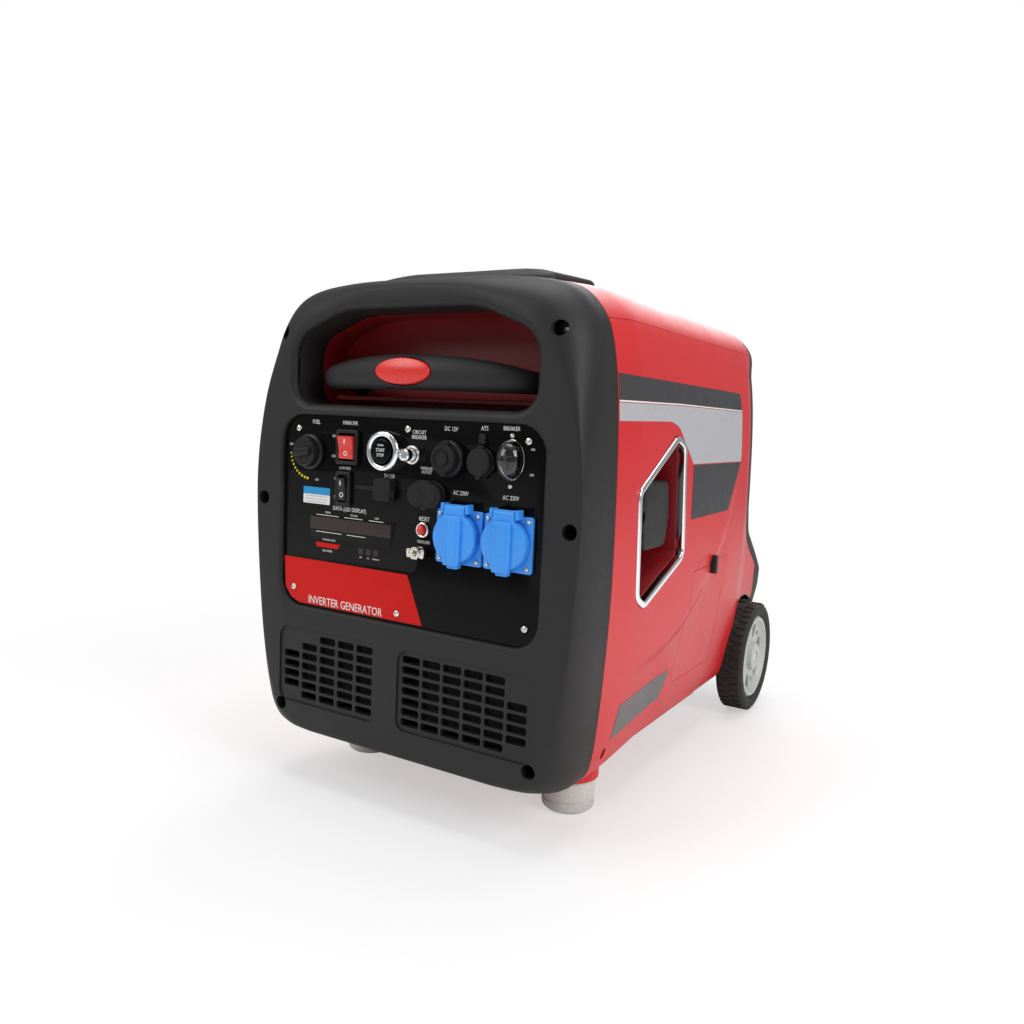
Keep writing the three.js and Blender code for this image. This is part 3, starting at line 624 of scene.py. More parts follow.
def offset(outline, distance):
    """Moves a dense closed outline outwards along its normals."""
    p = np.array(outline, float)
    along = np.roll(p, -1, 0) - np.roll(p, 1, 0)
    area = np.sum(p[:, 0] * np.roll(p[:, 1], -1) - np.roll(p[:, 0], -1) * p[:, 1])
    normal = np.column_stack([along[:, 1], -along[:, 0]]) * np.sign(area)
    normal /= np.maximum(np.linalg.norm(normal, axis=1, keepdims=True), 1e-9)
    return [tuple(q) for q in p + normal * distance]


def flare(name, outline, radius, back, front=0.0):
    """A cutter for an opening in the front face whose rim is rounded by a radius."""
    rings = []
    for depth in [-6, *np.linspace(0, 1, 8) ** 1.6 * radius, back - front]:
        lap = radius - math.sqrt(max(0.0, radius**2 - (radius - min(max(depth, 0), radius)) ** 2))
        rings.append(np.array([(a, front + depth, b) for a, b in offset(outline, lap)]))
    return loft(name, rings)


def solid_form(name, stations, inset=0.0, start=None):
    """The casing's form as a solid between two stations, every surface inset."""
    return loft(name, [ring(y, inset, start if start is not None and i == 0 else None) for i,
                       y in enumerate(stations)])


def x_slab(name, outline, low, high, **options):
    return slab(name, outline, low, high, "x", **options)


# ---------------------------------------------------------------- front cover
HANDLE_OPENING = rounded([(-141, 396), (141, 396), (141, 462), (78, 487), (-78, 487), (-141, 462)],
                         [22, 22, 30, 90, 90, 30], 8)
PANEL_OPENING = plate(-1, 287, 308, 196, 26, 8)
WELLS = [(-158, 7, 467), (158, 7, 467), (-180, 20, 297), (180, 20, 297), (-151, 4, 81), (151, 4, 81)]
FRONT_STATIONS = [EDGE_DEPTH * (1 - math.cos(t)) for t in np.linspace(0, math.pi / 2, 15)] + [55,
                                                                                              SEAM_Y - 0.3]


def slot_cutter():
    """All the intake slots: five columns on the left, six on the right, a few of them blind."""
    item = loose(slab("slot", plate(0, 0, 20.9, 7.5, 2.2, 4), -6, 9.6))
    places = []
    for left, right, columns, blind in ((-150, -28, 5, {(0, 6), (1, 6), (0, 5), (0, 0)}),
                                        (6, 148, 6, {(5, 6), (5, 5), (5, 0)})):
        pitch = (right - left) / columns
        for row in range(7):
            for column in range(columns):
                if (column, row) not in blind:
                    point = (left + pitch * (column + 0.5), 0, 90 + 72 / 7 * (row + 0.5))
                    places.append((point, (0, 0, 0), (1, 1, 1)))
    return repeat("slot_cutter", item, places, BLACK)


def front_cover():
    cover = solid_form("front_cover_shell", FRONT_STATIONS)
    hollow = solid_form("hollow", [9, *[y for y in FRONT_STATIONS if y > 11], 70], WALL)
    wells = [lathe("well", [(0, y - 30), (7.2, y - 30), (6.8, y + 17), (0, y + 17)], (x, 0, z), "y", 32)
             for x, y, z in WELLS]
    fields = [slab("field",
                   rounded([(a, 86), (b, 86), (b, 158), (b - 8, 166), (a + 8, 166), (a, 158)], 10), -6, 1.8)
              for a, b in ((-154, -24), (2, 152))]
    carve(cover, [hollow, flare("rim", HANDLE_OPENING, 7, 20), flare("rim", PANEL_OPENING, 3.5, 20), *fields,
                  slot_cutter()] + wells)
    done(cover, BLACK, "casing", "black_plastic", "front_cover", smooth=38)
    collar = slab("handle_opening_collar", offset(HANDLE_OPENING, 2.6), 6.5, 44, edge=0.4,
                  holes=[HANDLE_OPENING])
    done(collar, BLACK, "casing", "black_plastic")
    posts = join("screw_posts",
                 [lathe("post", [(0, y + 15), (9, y + 15), (9, y + 26), (0, y + 26)], (x, 0, z), "y", 24)
                                 for x, y, z in WELLS])
    done(posts, BLACK, "casing", "black_plastic")
    screws("cover_screws", [(x, y + 13.5, z) for x, y, z in WELLS], "casing", 3.2)
    done(slab("intake_baffle", plate(-1, 126, 290, 76, 6), 22, 24), RUBBER, "casing", "black_plastic")


def handle_recess():
    tub = slab("handle_recess_wall", offset(HANDLE_OPENING, 3), 44.2, 82, edge=0.4,
               holes=[offset(HANDLE_OPENING, 0.2)])
    back = slab("handle_recess_back", offset(HANDLE_OPENING, 2.9), 79, 82.6, edge=0.6)
    bores = [lathe("bore", [(0, 60), (10.6, 60), (10.6, 120), (0, 120)], (s * 118, 0, 421), "y",
                   32) for s in (-1, 1)]
    # The recess's tub, back and rib take the darker red, which is painted shade for the inside of the handle
    # recess.
    done(tub, RECESS_RED_PAINTED_SHADE, "casing", "red_plastic", "handle_recess")
    done(carve(back, bores), RECESS_RED_PAINTED_SHADE, "casing", "red_plastic")
    ledge = slab("handle_recess_rib", plate(0, 404, 250, 5, 2), 46, 78, edge=1.0)
    done(ledge, RECESS_RED_PAINTED_SHADE, "casing", "red_plastic")
    sleeves = join("tube_sleeves", [slab("sleeve", disc(s * 118, 421, 13.5), 76, 84, edge=1.2,
                                         holes=[disc(s * 118, 421, 10.4)]) for s in (-1, 1)])
    done(sleeves, BLACK, "casing", "black_plastic")


# ---------------------------------------------------------------- side panels, door and top
RED_SIDE = [(62.4, 0), (520, 0), (587, 120), (596, 160), (594, 198), (556, 224), (515, 262), (511.6, 300),
            (511.6, 520), (62.4, 520)]
WINDOW = [(115, 222), (108, 328), (203, 381), (229, 372), (241, 250), (136, 211)]
DOOR = [(270, 102), (394, 102), (411, 168), (422, 232), (278, 230), (276, 182), (289, 166), (270, 114)]
LATCH = (343, 231)
SIDE_STATIONS = [62.4, *np.linspace(67, 482, 104), *np.linspace(486, 606, 30)]
WHEEL_Y, WHEEL_Z = 555.0, 75.0


def window(inset=0.0, steps=8):
    return offset(rounded(WINDOW, 16, steps), -inset)


def flank(name, side):
    panel = skin(name, flank_line(side), SIDE_STATIONS)
    low, high = sorted((120 * side, 215 * side))
    carve(panel, [x_slab("region", RED_SIDE, low, high)], "INTERSECT")
    arch = lathe("arch", [(0, 150 * side), (84, 150 * side), (84, 220 * side), (0, 220 * side)],
                 (0, WHEEL_Y, WHEEL_Z), "x", 96)
    return carve(panel, [arch])


def side_panels():
    done(flank("side_panel_left_skin", -1), RED, "casing", "red_plastic", "side_panel_left", smooth=30)
    latch_hole = (lambda: lathe("hole", [(0, 170), (9.7, 170), (9.7, 210), (0, 210)], (0, *LATCH), "x", 40))
    vents = [x_slab("vent", rounded([(y - 5, z), (y + 1, z - 4), (y + 6, z + 6), (y, z + 9)], 3), 160, 210)
             for y, z in ((86, 76), (388, 112))]
    right = flank("side_panel_right_skin", 1)
    carve(right, [x_slab("cut", window(-0.4), 150, 210), x_slab("cut", grown(DOOR, 0.8), 120, 215),
                  latch_hole(), *vents])
    done(right, RED, "casing", "red_plastic", "side_panel_right", smooth=30)
    door = flank("service_door_skin", 1)
    carve(door, [x_slab("region", DOOR, 150, 215)], "INTERSECT")
    carve(door, [latch_hole()])
    done(door, RED, "door", "red_plastic", "service_door", smooth=30)
    knob = lathe("latch_knob", round_profile(9, 188.3, 194.6, 1.2), (0, *LATCH), "x", 40)
    bar = x_slab("bar", plate(*LATCH, 7, 22, 3), 190, 200.5, edge=1.2)
    done(join("latch_turn_knob", [knob, bar]), BLACK, "latch", "black_plastic", "service_door_latch")


def liners():
    """Inner walls that close the front seam and the wheel arches from inside."""
    rings = [ring(y, inset) for y, inset in ((57, 4.3), (70, 4.3), (70, 6.0), (57, 6.0), (57, 4.3))]
    done(loft("seam_liner", rings, False), BLACK, "casing", "black_plastic")
    arch = [(WHEEL_Y + 93 * math.cos(t),
             WHEEL_Z + 93 * math.sin(t)) for t in np.radians(np.linspace(170, 50, 28))]
    for side, name in ((-1, "left"), (1, "right")):
        low, high = sorted((152.6 * side, 154.6 * side))
        wall = x_slab("arch_liner_" + name, [(463, 90), *arch, (610, 90)], low, high, edge=0.4)
        done(wall, BLACK, "casing", "black_plastic")


def top_line(y, inset):
    half = section(y, inset)[:int(HALF_COUNT * 0.24) + 1]
    half[-1] = half[-1] * 0.85 + half[-2] * 0.15
    whole = np.vstack([half[:0:-1] * (-1, 1), half])
    return np.column_stack([whole[:, 0], np.full(len(whole), y), whole[:, 1]])


HUMP_PLAN = rounded([(-104, 78), (104, 78), (123, 140), (96, 176), (50, 205), (-50, 205), (-96, 176),
                     (-123, 140)], [16, 16, 9, 30, 40, 40, 30, 9], 8)
FUEL_Y = 143


def hump_top(points):
    """Height of the hump's top: highest near the front, falling to the sides and slowly to the rear."""
    crown = 11.5 * (np.abs(points[:, 0]) / 125) ** 4
    fall = np.interp(points[:, 1], [74, 78, 84, 90, 98, 108, 125, 150, 175, 195, 212],
                     [12, 9, 6, 3.8, 1.6, 0.2, 0.1, 1.0, 3.6, 7, 13.5])
    return 537.8 - crown - fall


def hump_ring(plan, drop=0.0, height=None):
    points = np.array(plan)
    top = hump_top(points) - drop
    return np.column_stack([points, np.maximum(top, 505) if height is None else np.full(len(points), height)])


def top():
    strip = skin("top_skin", top_line, [62.4, *np.linspace(70, 505, 40), 511.6])
    carve(strip, [lathe("neck", [(0, 500), (22, 500), (22, 560), (0, 560)], (0, FUEL_Y, 0), "z", 48)])
    done(strip, RED, "casing", "red_plastic", "top_panel", smooth=30)
    middle = np.array([0, 140.0])
    rings = [hump_ring(HUMP_PLAN, height=506)]
    for t in np.linspace(0, math.pi / 2, 7):
        rings.append(hump_ring(offset(HUMP_PLAN, -4 * (1 - math.cos(t))), 4 * (1 - math.sin(t))))
    inner = np.array(offset(HUMP_PLAN, -4)) - middle
    rings += [hump_ring(middle + inner * f) for f in (0.96, 0.9, 0.82, 0.72, 0.6, 0.46, 0.3)]
    hump = loft("top_surround_hump", rings)
    under = solid_form("under", [50, 62, 74, 86, 98, 110, 225], -0.5)
    well = lathe("well", [(0, 515), (42.5, 515), (43, 533), (44.5, 536), (47, 538.5), (47, 560), (0, 560)],
                 (0, FUEL_Y, 0), "z", 64)
    carve(hump, [under, well])
    done(hump, BLACK, "casing", "black_plastic", "top_surround", smooth=34)
    neck = slab("filler_neck", disc(0, FUEL_Y, 19.6), 500, 527.4, "z", edge=0.8, holes=[disc(0, FUEL_Y, 16)])
    done(neck, DARK, "casing", "black_plastic")
    cap = lathe("cap", [(0, 528.6), (33, 528.6), (33, 533.6), (31.6, 534.7), (27, 534.9), (0, 534.5)],
                (0, FUEL_Y, 0), "z", 64)
    bar = slab("bar", plate(0, FUEL_Y, 12, 56, 5), 532, 537.8, "z", edge=1.4)
    ridge = loose(slab("ridge", plate(0, 0, 1.9, 2.4, 0.8, 2), 528.9, 533.8, "z", edge=0.4))
    places = [((32.8 * math.cos(t), FUEL_Y + 32.8 * math.sin(t), 0), (0, 0, t + math.pi / 2), (1, 1, 1))
              for t in np.linspace(0, 2 * math.pi, 36, endpoint=False)]
    ridges = repeat("ridges", ridge, places, BLACK)
    done(join("fuel_cap_ridged", [cap, bar, ridges]), BLACK, "tank_cap", "black_plastic", "fuel_cap")


# ---------------------------------------------------------------- rear cover
SIDE_VIEW = [(380, 30), (440, 30), (440, 50), (606, 138), (622, 165), (622, 190), (600, 208), (545, 250),
             (538, 285), (538, 498), (531, 514), (516, 522), (500, 535), (380, 535)]
SIDE_VIEW_INNER = [(370, 20), (442, 20), (442, 56), (601, 142), (617.5, 168), (617.5, 187), (597, 204),
                   (541, 247), (533.5, 284), (533.5, 495), (527, 509), (513, 517), (496, 540), (370, 540)]
REAR_PART = [(512.2, 545), (512.2, 300), (515.7, 262.5), (556.7, 224.6), (594.7, 198.7), (596.7, 160),
             (587.7, 118), (640, 100), (640, 545)]


def rear():
    radii = [1, 1, 6, 12, 12, 12, 14, 26, 20, 8, 8, 8, 8, 1]
    stations = [400, *np.linspace(440, 630, 30)]
    cover = solid_form("rear_cover_shell", stations)
    carve(cover, [x_slab("view", rounded(SIDE_VIEW, radii), -210, 210)], "INTERSECT")
    hollow = solid_form("hollow", [390, *stations[1:-1], 640], 4)
    carve(hollow, [x_slab("view", SIDE_VIEW_INNER, -209, 209)], "INTERSECT")
    carve(cover, [hollow])
    region = join("region", [x_slab("back", REAR_PART, -208, 208),
                   slab("floor", plate(0, 520, 279, 159, 2), 41, 117, "z")])
    carve(cover, [region], "INTERSECT")
    arches = [lathe("arch", [(0, 156 * s), (84, 156 * s), (84, 220 * s), (0, 220 * s)],
                    (0, WHEEL_Y, WHEEL_Z), "x", 96)
              for s in (-1, 1)]
    louvre = loose(slab("louvre", plate(0, 0, 130, 8, 3.6), 524, 552))
    louvres = repeat("louvres", louvre,
                     [((-85, 0, 304 + 20 * i), (0, 0, 0), (1, 1, 1)) for i in range(8)], BLACK)
    port = lathe("port", [(0, 520), (24, 520), (24, 560), (0, 560)], (90, 0, 330), "y", 64)
    field = slab("field", plate(0, 391, 330, 202, 14), 536.8, 560)
    carve(cover, [*arches, louvres, port])
    carve(cover, [field])
    done(cover, BLACK, "casing", "black_plastic", "rear_cover", smooth=32)
    done(slab("outlet_baffle", plate(-85, 374, 138, 168, 4), 524, 526), RUBBER, "casing", "black_plastic")
    can = x_slab("can", plate(474, 300, 69.6, 109.6, 26), 20.2, 149.8, edge=3)
    pipe = slab("pipe", disc(90, 330, 17.8), 500, 529.8, edge=0.8, holes=[disc(90, 330, 15)])
    done(join("muffler_and_pipe", [can, pipe]), STEEL, "casing", "steel", "muffler")
    net = slab("spark_screen", disc(90, 330, 15.2), 514, 516)
    done(net, RUBBER, "casing", "steel")
    points = [(x, 537.4, z) for x in (-158, 158) for z in (318, 398, 478)]
    screws("rear_screws", points, "casing", 3.0, turn=(0, 0, math.pi))


# ---------------------------------------------------------------- wheels and feet
# Radius from the axle and distance outwards from the wheel's middle plane.
HUB_PROFILE = [(8, -14.5), (57, -14.5), (57, 9.5), (57, 12.5), (56, 13.6), (54.5, 15.6), (51.0, 15.6),
               (49.0, 12.0),
               (46.0, 9.0), (26, 8.5), (20, 9.5), (18.5, 15.4), (17, 16.4), (8, 16.4), (8, -14.5)]
POCKET_PROFILE = [(20, -40), (50, -40), (50, 4), (20, 4), (20, -40)]


def wheel(side, name):
    middle = (181.5 * side, WHEEL_Y, WHEEL_Z)
    tyre = lathe("tyre", [(57.4, -15), (60, -17), (67, -18.2), (71, -17), (73.4, -13.5), (73.6, 0),
                          (73.4, 13.5), (71, 17), (67, 18.2), (60, 17), (57.4, 15), (57.4, -15)],
                 middle, "x", 112)
    block = loose(slab("block", rounded([(-2.4, -7.4), (2.4, -5.4), (2.4, 7.4), (-2.4, 5.4)], 0.8, 3),
                       72.6, 74.9, "z", edge=0.5))
    # The block is modelled at the tyre's top, so a turn about the axle brings it to its own place.
    block.data.transform(Matrix.Rotation(math.pi / 2, 4, "Z"))
    tread = []
    for row in (-1, 1):
        for i in range(44):
            turn = math.pi / 2 - 2 * math.pi * (i + 0.25 * row) / 44
            tread.append(((middle[0] + 8.4 * row, WHEEL_Y, WHEEL_Z), (turn, 0, 0), (1, 1, 1)))
    blocks = repeat("tread", block, tread, TYRE)
    done(join("tyre_tread_" + name, [tyre, blocks]), TYRE, "wheel_" + name, "tyre_rubber", "tyre_" + name)
    hub = lathe("hub", [(radius, out * side) for radius, out in HUB_PROFILE], middle, "x", 96)
    pocket = lathe("pocket", [(radius, out * side) for radius, out in POCKET_PROFILE], middle, "x", 64)
    holes = []
    for i in range(6):
        t = 2 * math.pi * i / 6 + 0.3
        u, v = np.array([math.cos(t), math.sin(t)]), np.array([-math.sin(t), math.cos(t)])
        corner = [u * 26 - v * 3.5, u * 26 + v * 3.5, u * 44.5 + v * 10, u * 44.5 - v * 10]
        outline = rounded([(WHEEL_Y + c[0], WHEEL_Z + c[1]) for c in corner], 3.2, 4)
        holes.append(x_slab("hole", outline, middle[0] - 30, middle[0] + 30))
        far = (u * math.cos(0.52) + v * math.sin(0.52)) * 38
        holes.append(x_slab("hole", disc(WHEEL_Y + far[0], WHEEL_Z + far[1], 4.2, 20), middle[0] - 30,
                            middle[0] + 30))
    carve(hub, [pocket, join("holes", holes)])
    done(hub, GREY, "wheel_" + name, "grey_plastic", "hub_" + name, smooth=35)
    end = lathe("axle_end", round_profile(7.4, middle[0] - 5 * side, middle[0] + 15.2 * side, 1),
                (0, WHEEL_Y, WHEEL_Z), "x", 32)
    done(end, SCREW, "casing", "steel")


def feet():
    for side, name in ((-1, "left"), (1, "right")):
        profile = [(0, 0.2), (23.4, 0.2), (26.2, 2.6), (26.8, 5), (26.8, 9), (25.4, 10), (25.4, 12),
                   (26.8, 13), (26.8, 29), (25, 33.8), (0, 33.8)]
        foot = lathe("foot_" + name + "_turned", profile, (side * 130, 125, 0), "z", 64)
        done(foot, FOOT, "casing", "pale_rubber", "foot_" + name)


# ---------------------------------------------------------------- trolley handle
def handle():
    path = [(-118, 60, 421.4, 9.6, 9.4), (-118, 51, 421.8, 9.8, 9.8), (-116.6, 41, 422.2, 10.6, 10.3),
            (-112.5, 32.5, 422.8, 11.6, 10.9), (-104, 26, 424, 12.8, 12.2), (-92, 21.5, 425.2, 13.6, 13.3),
            (-74, 17.5, 426.6, 14.2, 14.6), (-52, 14.0, 427.8, 14.6, 15.7), (-26, 11.4, 428.7, 14.9, 16.5),
            (0, 10.6, 429, 15, 16.8)]
    path = path + [(-x, y, z, a, b) for x, y, z, a, b in path[-2::-1]]
    fine = np.linspace(0, len(path) - 1, 89)
    rail = np.column_stack([np.interp(fine, range(len(path)), [p[k] for p in path]) for k in range(5)])
    for _ in range(3):
        rail[1:-1] = (rail[:-2] + 2 * rail[1:-1] + rail[2:]) / 4
    rings = []
    for i, (x, y, z, a, b) in enumerate(rail):
        step = rail[min(i + 1, len(rail) - 1)] - rail[max(i - 1, 0)]
        across = np.array([-step[1], step[0]]) / math.hypot(step[0], step[1])
        loop = []
        for t in np.linspace(0, 2 * math.pi, 40, endpoint=False):
            u = math.copysign(abs(math.cos(t)) ** 0.85, math.cos(t)) * a
            v = math.copysign(abs(math.sin(t)) ** 0.9, math.sin(t)) * b
            loop.append((x + across[0] * u, y + across[1] * u, z + v))
        rings.append(np.array(loop))
    grip = loft("handle_bow", rings)
    pocket = slab("pocket", disc(0, 429, 33, 64, 13.4 / 33), -20, 11)
    done(carve(grip, [pocket]), BLACK, "handle", "black_plastic", "handle_grip", smooth=40)
    button = lathe("release_oval", round_profile(31.6, 6.5, -5.4, 3, dome=2.4, steps=6),
                   (0, 0, 429 / (12.4 / 31.6)), "y", 64)
    button.data.transform(Matrix.Diagonal((1, 1, 12.4 / 31.6, 1)))
    done(button, BUTTON_RED, "release", "red_button", "handle_release", smooth=40)
    for side, name in ((-1, "left"), (1, "right")):
        tube = slab("tube_" + name, disc(side * 118, 421, 9.4, 48), 60.6, 439.5, edge=0.8)
        done(tube, STEEL, "handle", "steel", "handle_tube_" + name)


# ---------------------------------------------------------------- lettering
def words(text, x, z, height, y=4.08):
    """Printed words centred at (x, z) on the control panel."""
    curve = bpy.data.curves.new("words", "FONT")
    curve.body, curve.align_x, curve.align_y = text, "CENTER", "CENTER"
    curve.size, curve.extrude, curve.resolution_u = height * 1.75, 0.06, 2
    curve.space_line = 0.9
    source = bpy.data.objects.new("words", curve)
    bpy.context.scene.collection.objects.link(source)
    bpy.context.view_layer.update()
    mesh = bpy.data.meshes.new_from_object(source.evaluated_get(bpy.context.evaluated_depsgraph_get()))
    bpy.data.objects.remove(source)
    points = [(x + v.co.x * 0.8, y - 0.02 - v.co.z, z + v.co.y) for v in mesh.vertices]
    mesh.vertices.foreach_set("co", place(points).ravel())
    return tidy(link("words", mesh))


def print_at(name, outline, material, y=4.3, body="casing", slot="gloss_black"):
    return done(slab(name, outline, y - 0.16, y + 0.4), material, body, slot)


# ---------------------------------------------------------------- control panel
KNOB = (-119, 348)
START = (-21, 354)
SOCKET_X = (68, 120)
SOCKET_Z = 281


def ring_profile(inner, outer, back, front, edge):
    """Closed profile of a ring with a rounded front."""
    middle, half = (inner + outer) / 2, (outer - inner) / 2
    arch = [(middle + half * math.cos(t), front + edge - edge * math.sin(t)) for t in np.linspace(0, math.pi,
                                                                                                  13)]
    return [(inner, back), (outer, back), *arch, (inner, back)]


def panel():
    holes = [plate(-69, 355, 20, 27, 1), plate(-73, 314, 11, 27, 1), disc(*START, 13), disc(10, 352, 6.6, 24),
             disc(25, 283, 5, 24), disc(52, 351, 13.4), *[disc(x, SOCKET_Z, 21.8) for x in SOCKET_X]]
    face = slab("control_panel_face", offset(PANEL_OPENING, -0.25), 4.3, 9, edge=0.25, holes=holes)
    done(face, GLOSS, "casing", "gloss_black", "control_panel")
    print_at("panel_film", offset(plate(-65, 285, 168, 88, 8), 0), FILM_PANEL, 4.24)
    stripe = [(-153, 238), (8, 238), (27, 191.5), (-132, 191.5), (-143, 196), (-151, 206)]
    print_at("panel_red_stripe", stripe, INK_RED, 4.2)
    print_at("fuel_meter_bar", [(-108, 252.5), (-80, 252.5), (-77, 257), (-110, 257)], INK_RED, 4.15)
    print_at("label_head", plate(-110, 309, 36, 7, 0.8), FILM_BLUE, 4.15)
    print_at("label_body", plate(-110, 300.5, 36, 9.4, 0.8), INK_WHITE, 4.15)
    lines = [slab("line", plate(-110, 297.6 + 2.9 * i, 30 - 3 * (i == 0), 0.7, 0.2, 2), 3.95,
                  4.5) for i in range(3)]
    done(join("label_lines", lines), FILM_GREY, "casing", "gloss_black")
    lens = slab("display_lens", [(-118, 262), (-14, 262), (-8, 286), (-112, 286)], 3.3, 4.6, edge=0.3)
    done(lens, FILM_PANEL, "casing", "gloss_black", "display_window")
    done(slab("display_strip", plate(-65, 277, 104, 12.6, 0.6), 3.1, 4.0, edge=0.1), DISPLAY, "casing",
         "gloss_black")
    lamps = [slab("lamp", plate(-50 + 9.5 * i, 254, 6, 6, 0.8), 3.9, 4.6, edge=0.15) for i in range(3)]
    done(join("indicator_lamps", lamps), DISPLAY, "casing", "gloss_black")
    rules = [slab("rule", plate(x, z, w, 0.55, 0.1, 2), 3.05, 4.5) for x, z, w in
             ((-94, 285.3, 30), (-60, 285.3, 24), (-31, 285.3, 18), (-92, 268.2, 34), (-56, 268.2, 24))]
    done(join("display_rules", rules), INK_WHITE, "casing", "gloss_black")
    texts = [("FUEL", -112, 378, 3.4), ("MAIN SW.", -67, 378.5, 3.2), ("CIRCUIT\nBREAKER", 17, 371, 3.0),
             ("DC 12V", 53, 378, 3.2), ("ATS", 89, 380, 3.2), ("BREAKER", 117, 381, 3.0),
             ("5V USB", -17, 330.2, 3.0),
             ("LOW IDLE", -73, 334, 2.3), ("PARALLEL\nOUTLET", 27, 338.6, 2.3), ("AC 230V", 66, 320.5, 3.2),
             ("AC 230V", 119, 320.5, 3.2), ("RESET", 26, 293, 3.3), ("GROUND", 26, 271.4, 2.4),
             ("DATA (LED DISPLAY)", -66, 293.4, 3.3), ("ON", -88, 365, 2.2), ("OFF", -88, 345, 2.2),
             ("ON", -84.5, 323, 2.0),
             ("OFF", -84.5, 305, 2.0), ("OFF", -146, 354, 2.0), ("ON", -110, 320, 2.0),
             ("VOLTAGE", -60, 288, 1.5),
             ("POWER", -94, 288, 1.5), ("LOAD", -31, 288, 1.5), ("RUNNING HOURS", -92, 260.5, 1.5),
             ("FUEL METER", -94, 249.2, 1.7),
             ("OVERLOAD", -31, 248, 1.2), ("OIL", -50, 248, 1.4), ("AC", -40.5, 248, 1.4),
             ("ON", 139, 364, 1.8), ("OFF", 139, 342, 1.8)]
    done(join("panel_lettering", [words(t, x, z, h) for t, x, z, h in texts]), INK_WHITE, "casing",
         "gloss_black")
    done(words("INVERTER GENERATOR", -70, 196.4, 6.6, 3.98), INK_WHITE, "casing",
         "gloss_black").name = "stripe_lettering"
    dot = loose(slab("dot", disc(0, 0, 1.15, 16), -0.25, 0.3))
    dots = [((KNOB[0] + 27.5 * math.cos(t), 4.2, KNOB[1] + 27.5 * math.sin(t)), (0, 0, 0),
             (0.75 + 0.05 * i,) * 3)
            for i, t in enumerate(np.linspace(math.radians(186), math.radians(262), 10))]
    done(repeat("fuel_dots", dot, dots, INK_YELLOW), INK_YELLOW, "casing", "gloss_black")
    points = [(-135, 4.3, 371), (135, 4.3, 371), (-139, 4.3, 207), (139, 4.3, 207), (4, 4.3, 376),
              (-3, 4.3, 199)]
    screws("panel_screws", points, "casing", 3.4)
    screws("panel_small_screws", [(118, 4.3, 330.5), (118, 4.3, 375)], "casing", 2.2)


def knob_and_switches():
    base = lathe("knob_base", [(0, 4), (17.8, 4), (17.8, 1.5), (16.8, 0.6), (15.6, 0.2), (14.6, -6.6),
                               (13.2, -7.8), (0, -8)], (KNOB[0], 0, KNOB[1]), "y", 64)
    wing = slab("wing", rounded([(-4.6, -10.8), (4.6, -10.8), (3.6, 10.8), (-3.6, 10.8)], 3), -11.8, -6,
                edge=1.4)
    turn = Matrix.Translation((KNOB[0] * MM, FACE_Y, KNOB[1] * MM)) @ Matrix.Rotation(1.42, 4, "Y") @ \
        Matrix.Translation((0, -FACE_Y, 0))
    wing.data.transform(turn)
    done(join("fuel_knob_moulded", [base, wing]), DARK, "knob", "black_plastic", "fuel_knob")
    for name, x, z, width, material, red in (("main", -69, 355, 28, BUTTON_RED, True),
                                             ("idle", -73, 314, 19, DARK, False)):
        opening = plate(x, z, width - 8, 27, 1.2)
        frame_piece = slab(name + "_switch_bezel", plate(x, z, width, 34, 2.6), 0.2, 4.2, edge=0.9,
                           holes=[opening])
        done(frame_piece, DARK, "casing", "black_plastic", name + "_switch_frame")
        side = [(10.5, z - 11.2), (0.4, z - 11.4), (-0.6, z - 9), (-0.5, z - 4), (-0.9, z), (-2.2, z + 6),
                (-3.2, z + 9.8), (-2.4, z + 10.7), (10.5, z + 11.2)]
        rocker = x_slab(name + "_switch_key", side, x - (width - 9.7) / 2, x + (width - 9.7) / 2, edge=0.7)
        done(rocker, material, name + "_rocker", "red_button" if red else "black_plastic",
             name + "_switch_rocker")
        marks = [slab("mark", plate(x, z + 6, 1.1, 5, 0.3, 2), -2.75, -2.0),
                 slab("mark", disc(x, z - 6, 2.4, 24), -0.75, -0.4, holes=[disc(x, z - 6, 1.6, 24)])]
        done(join(name + "_switch_marks", marks), INK_WHITE, name + "_rocker", "black_plastic")


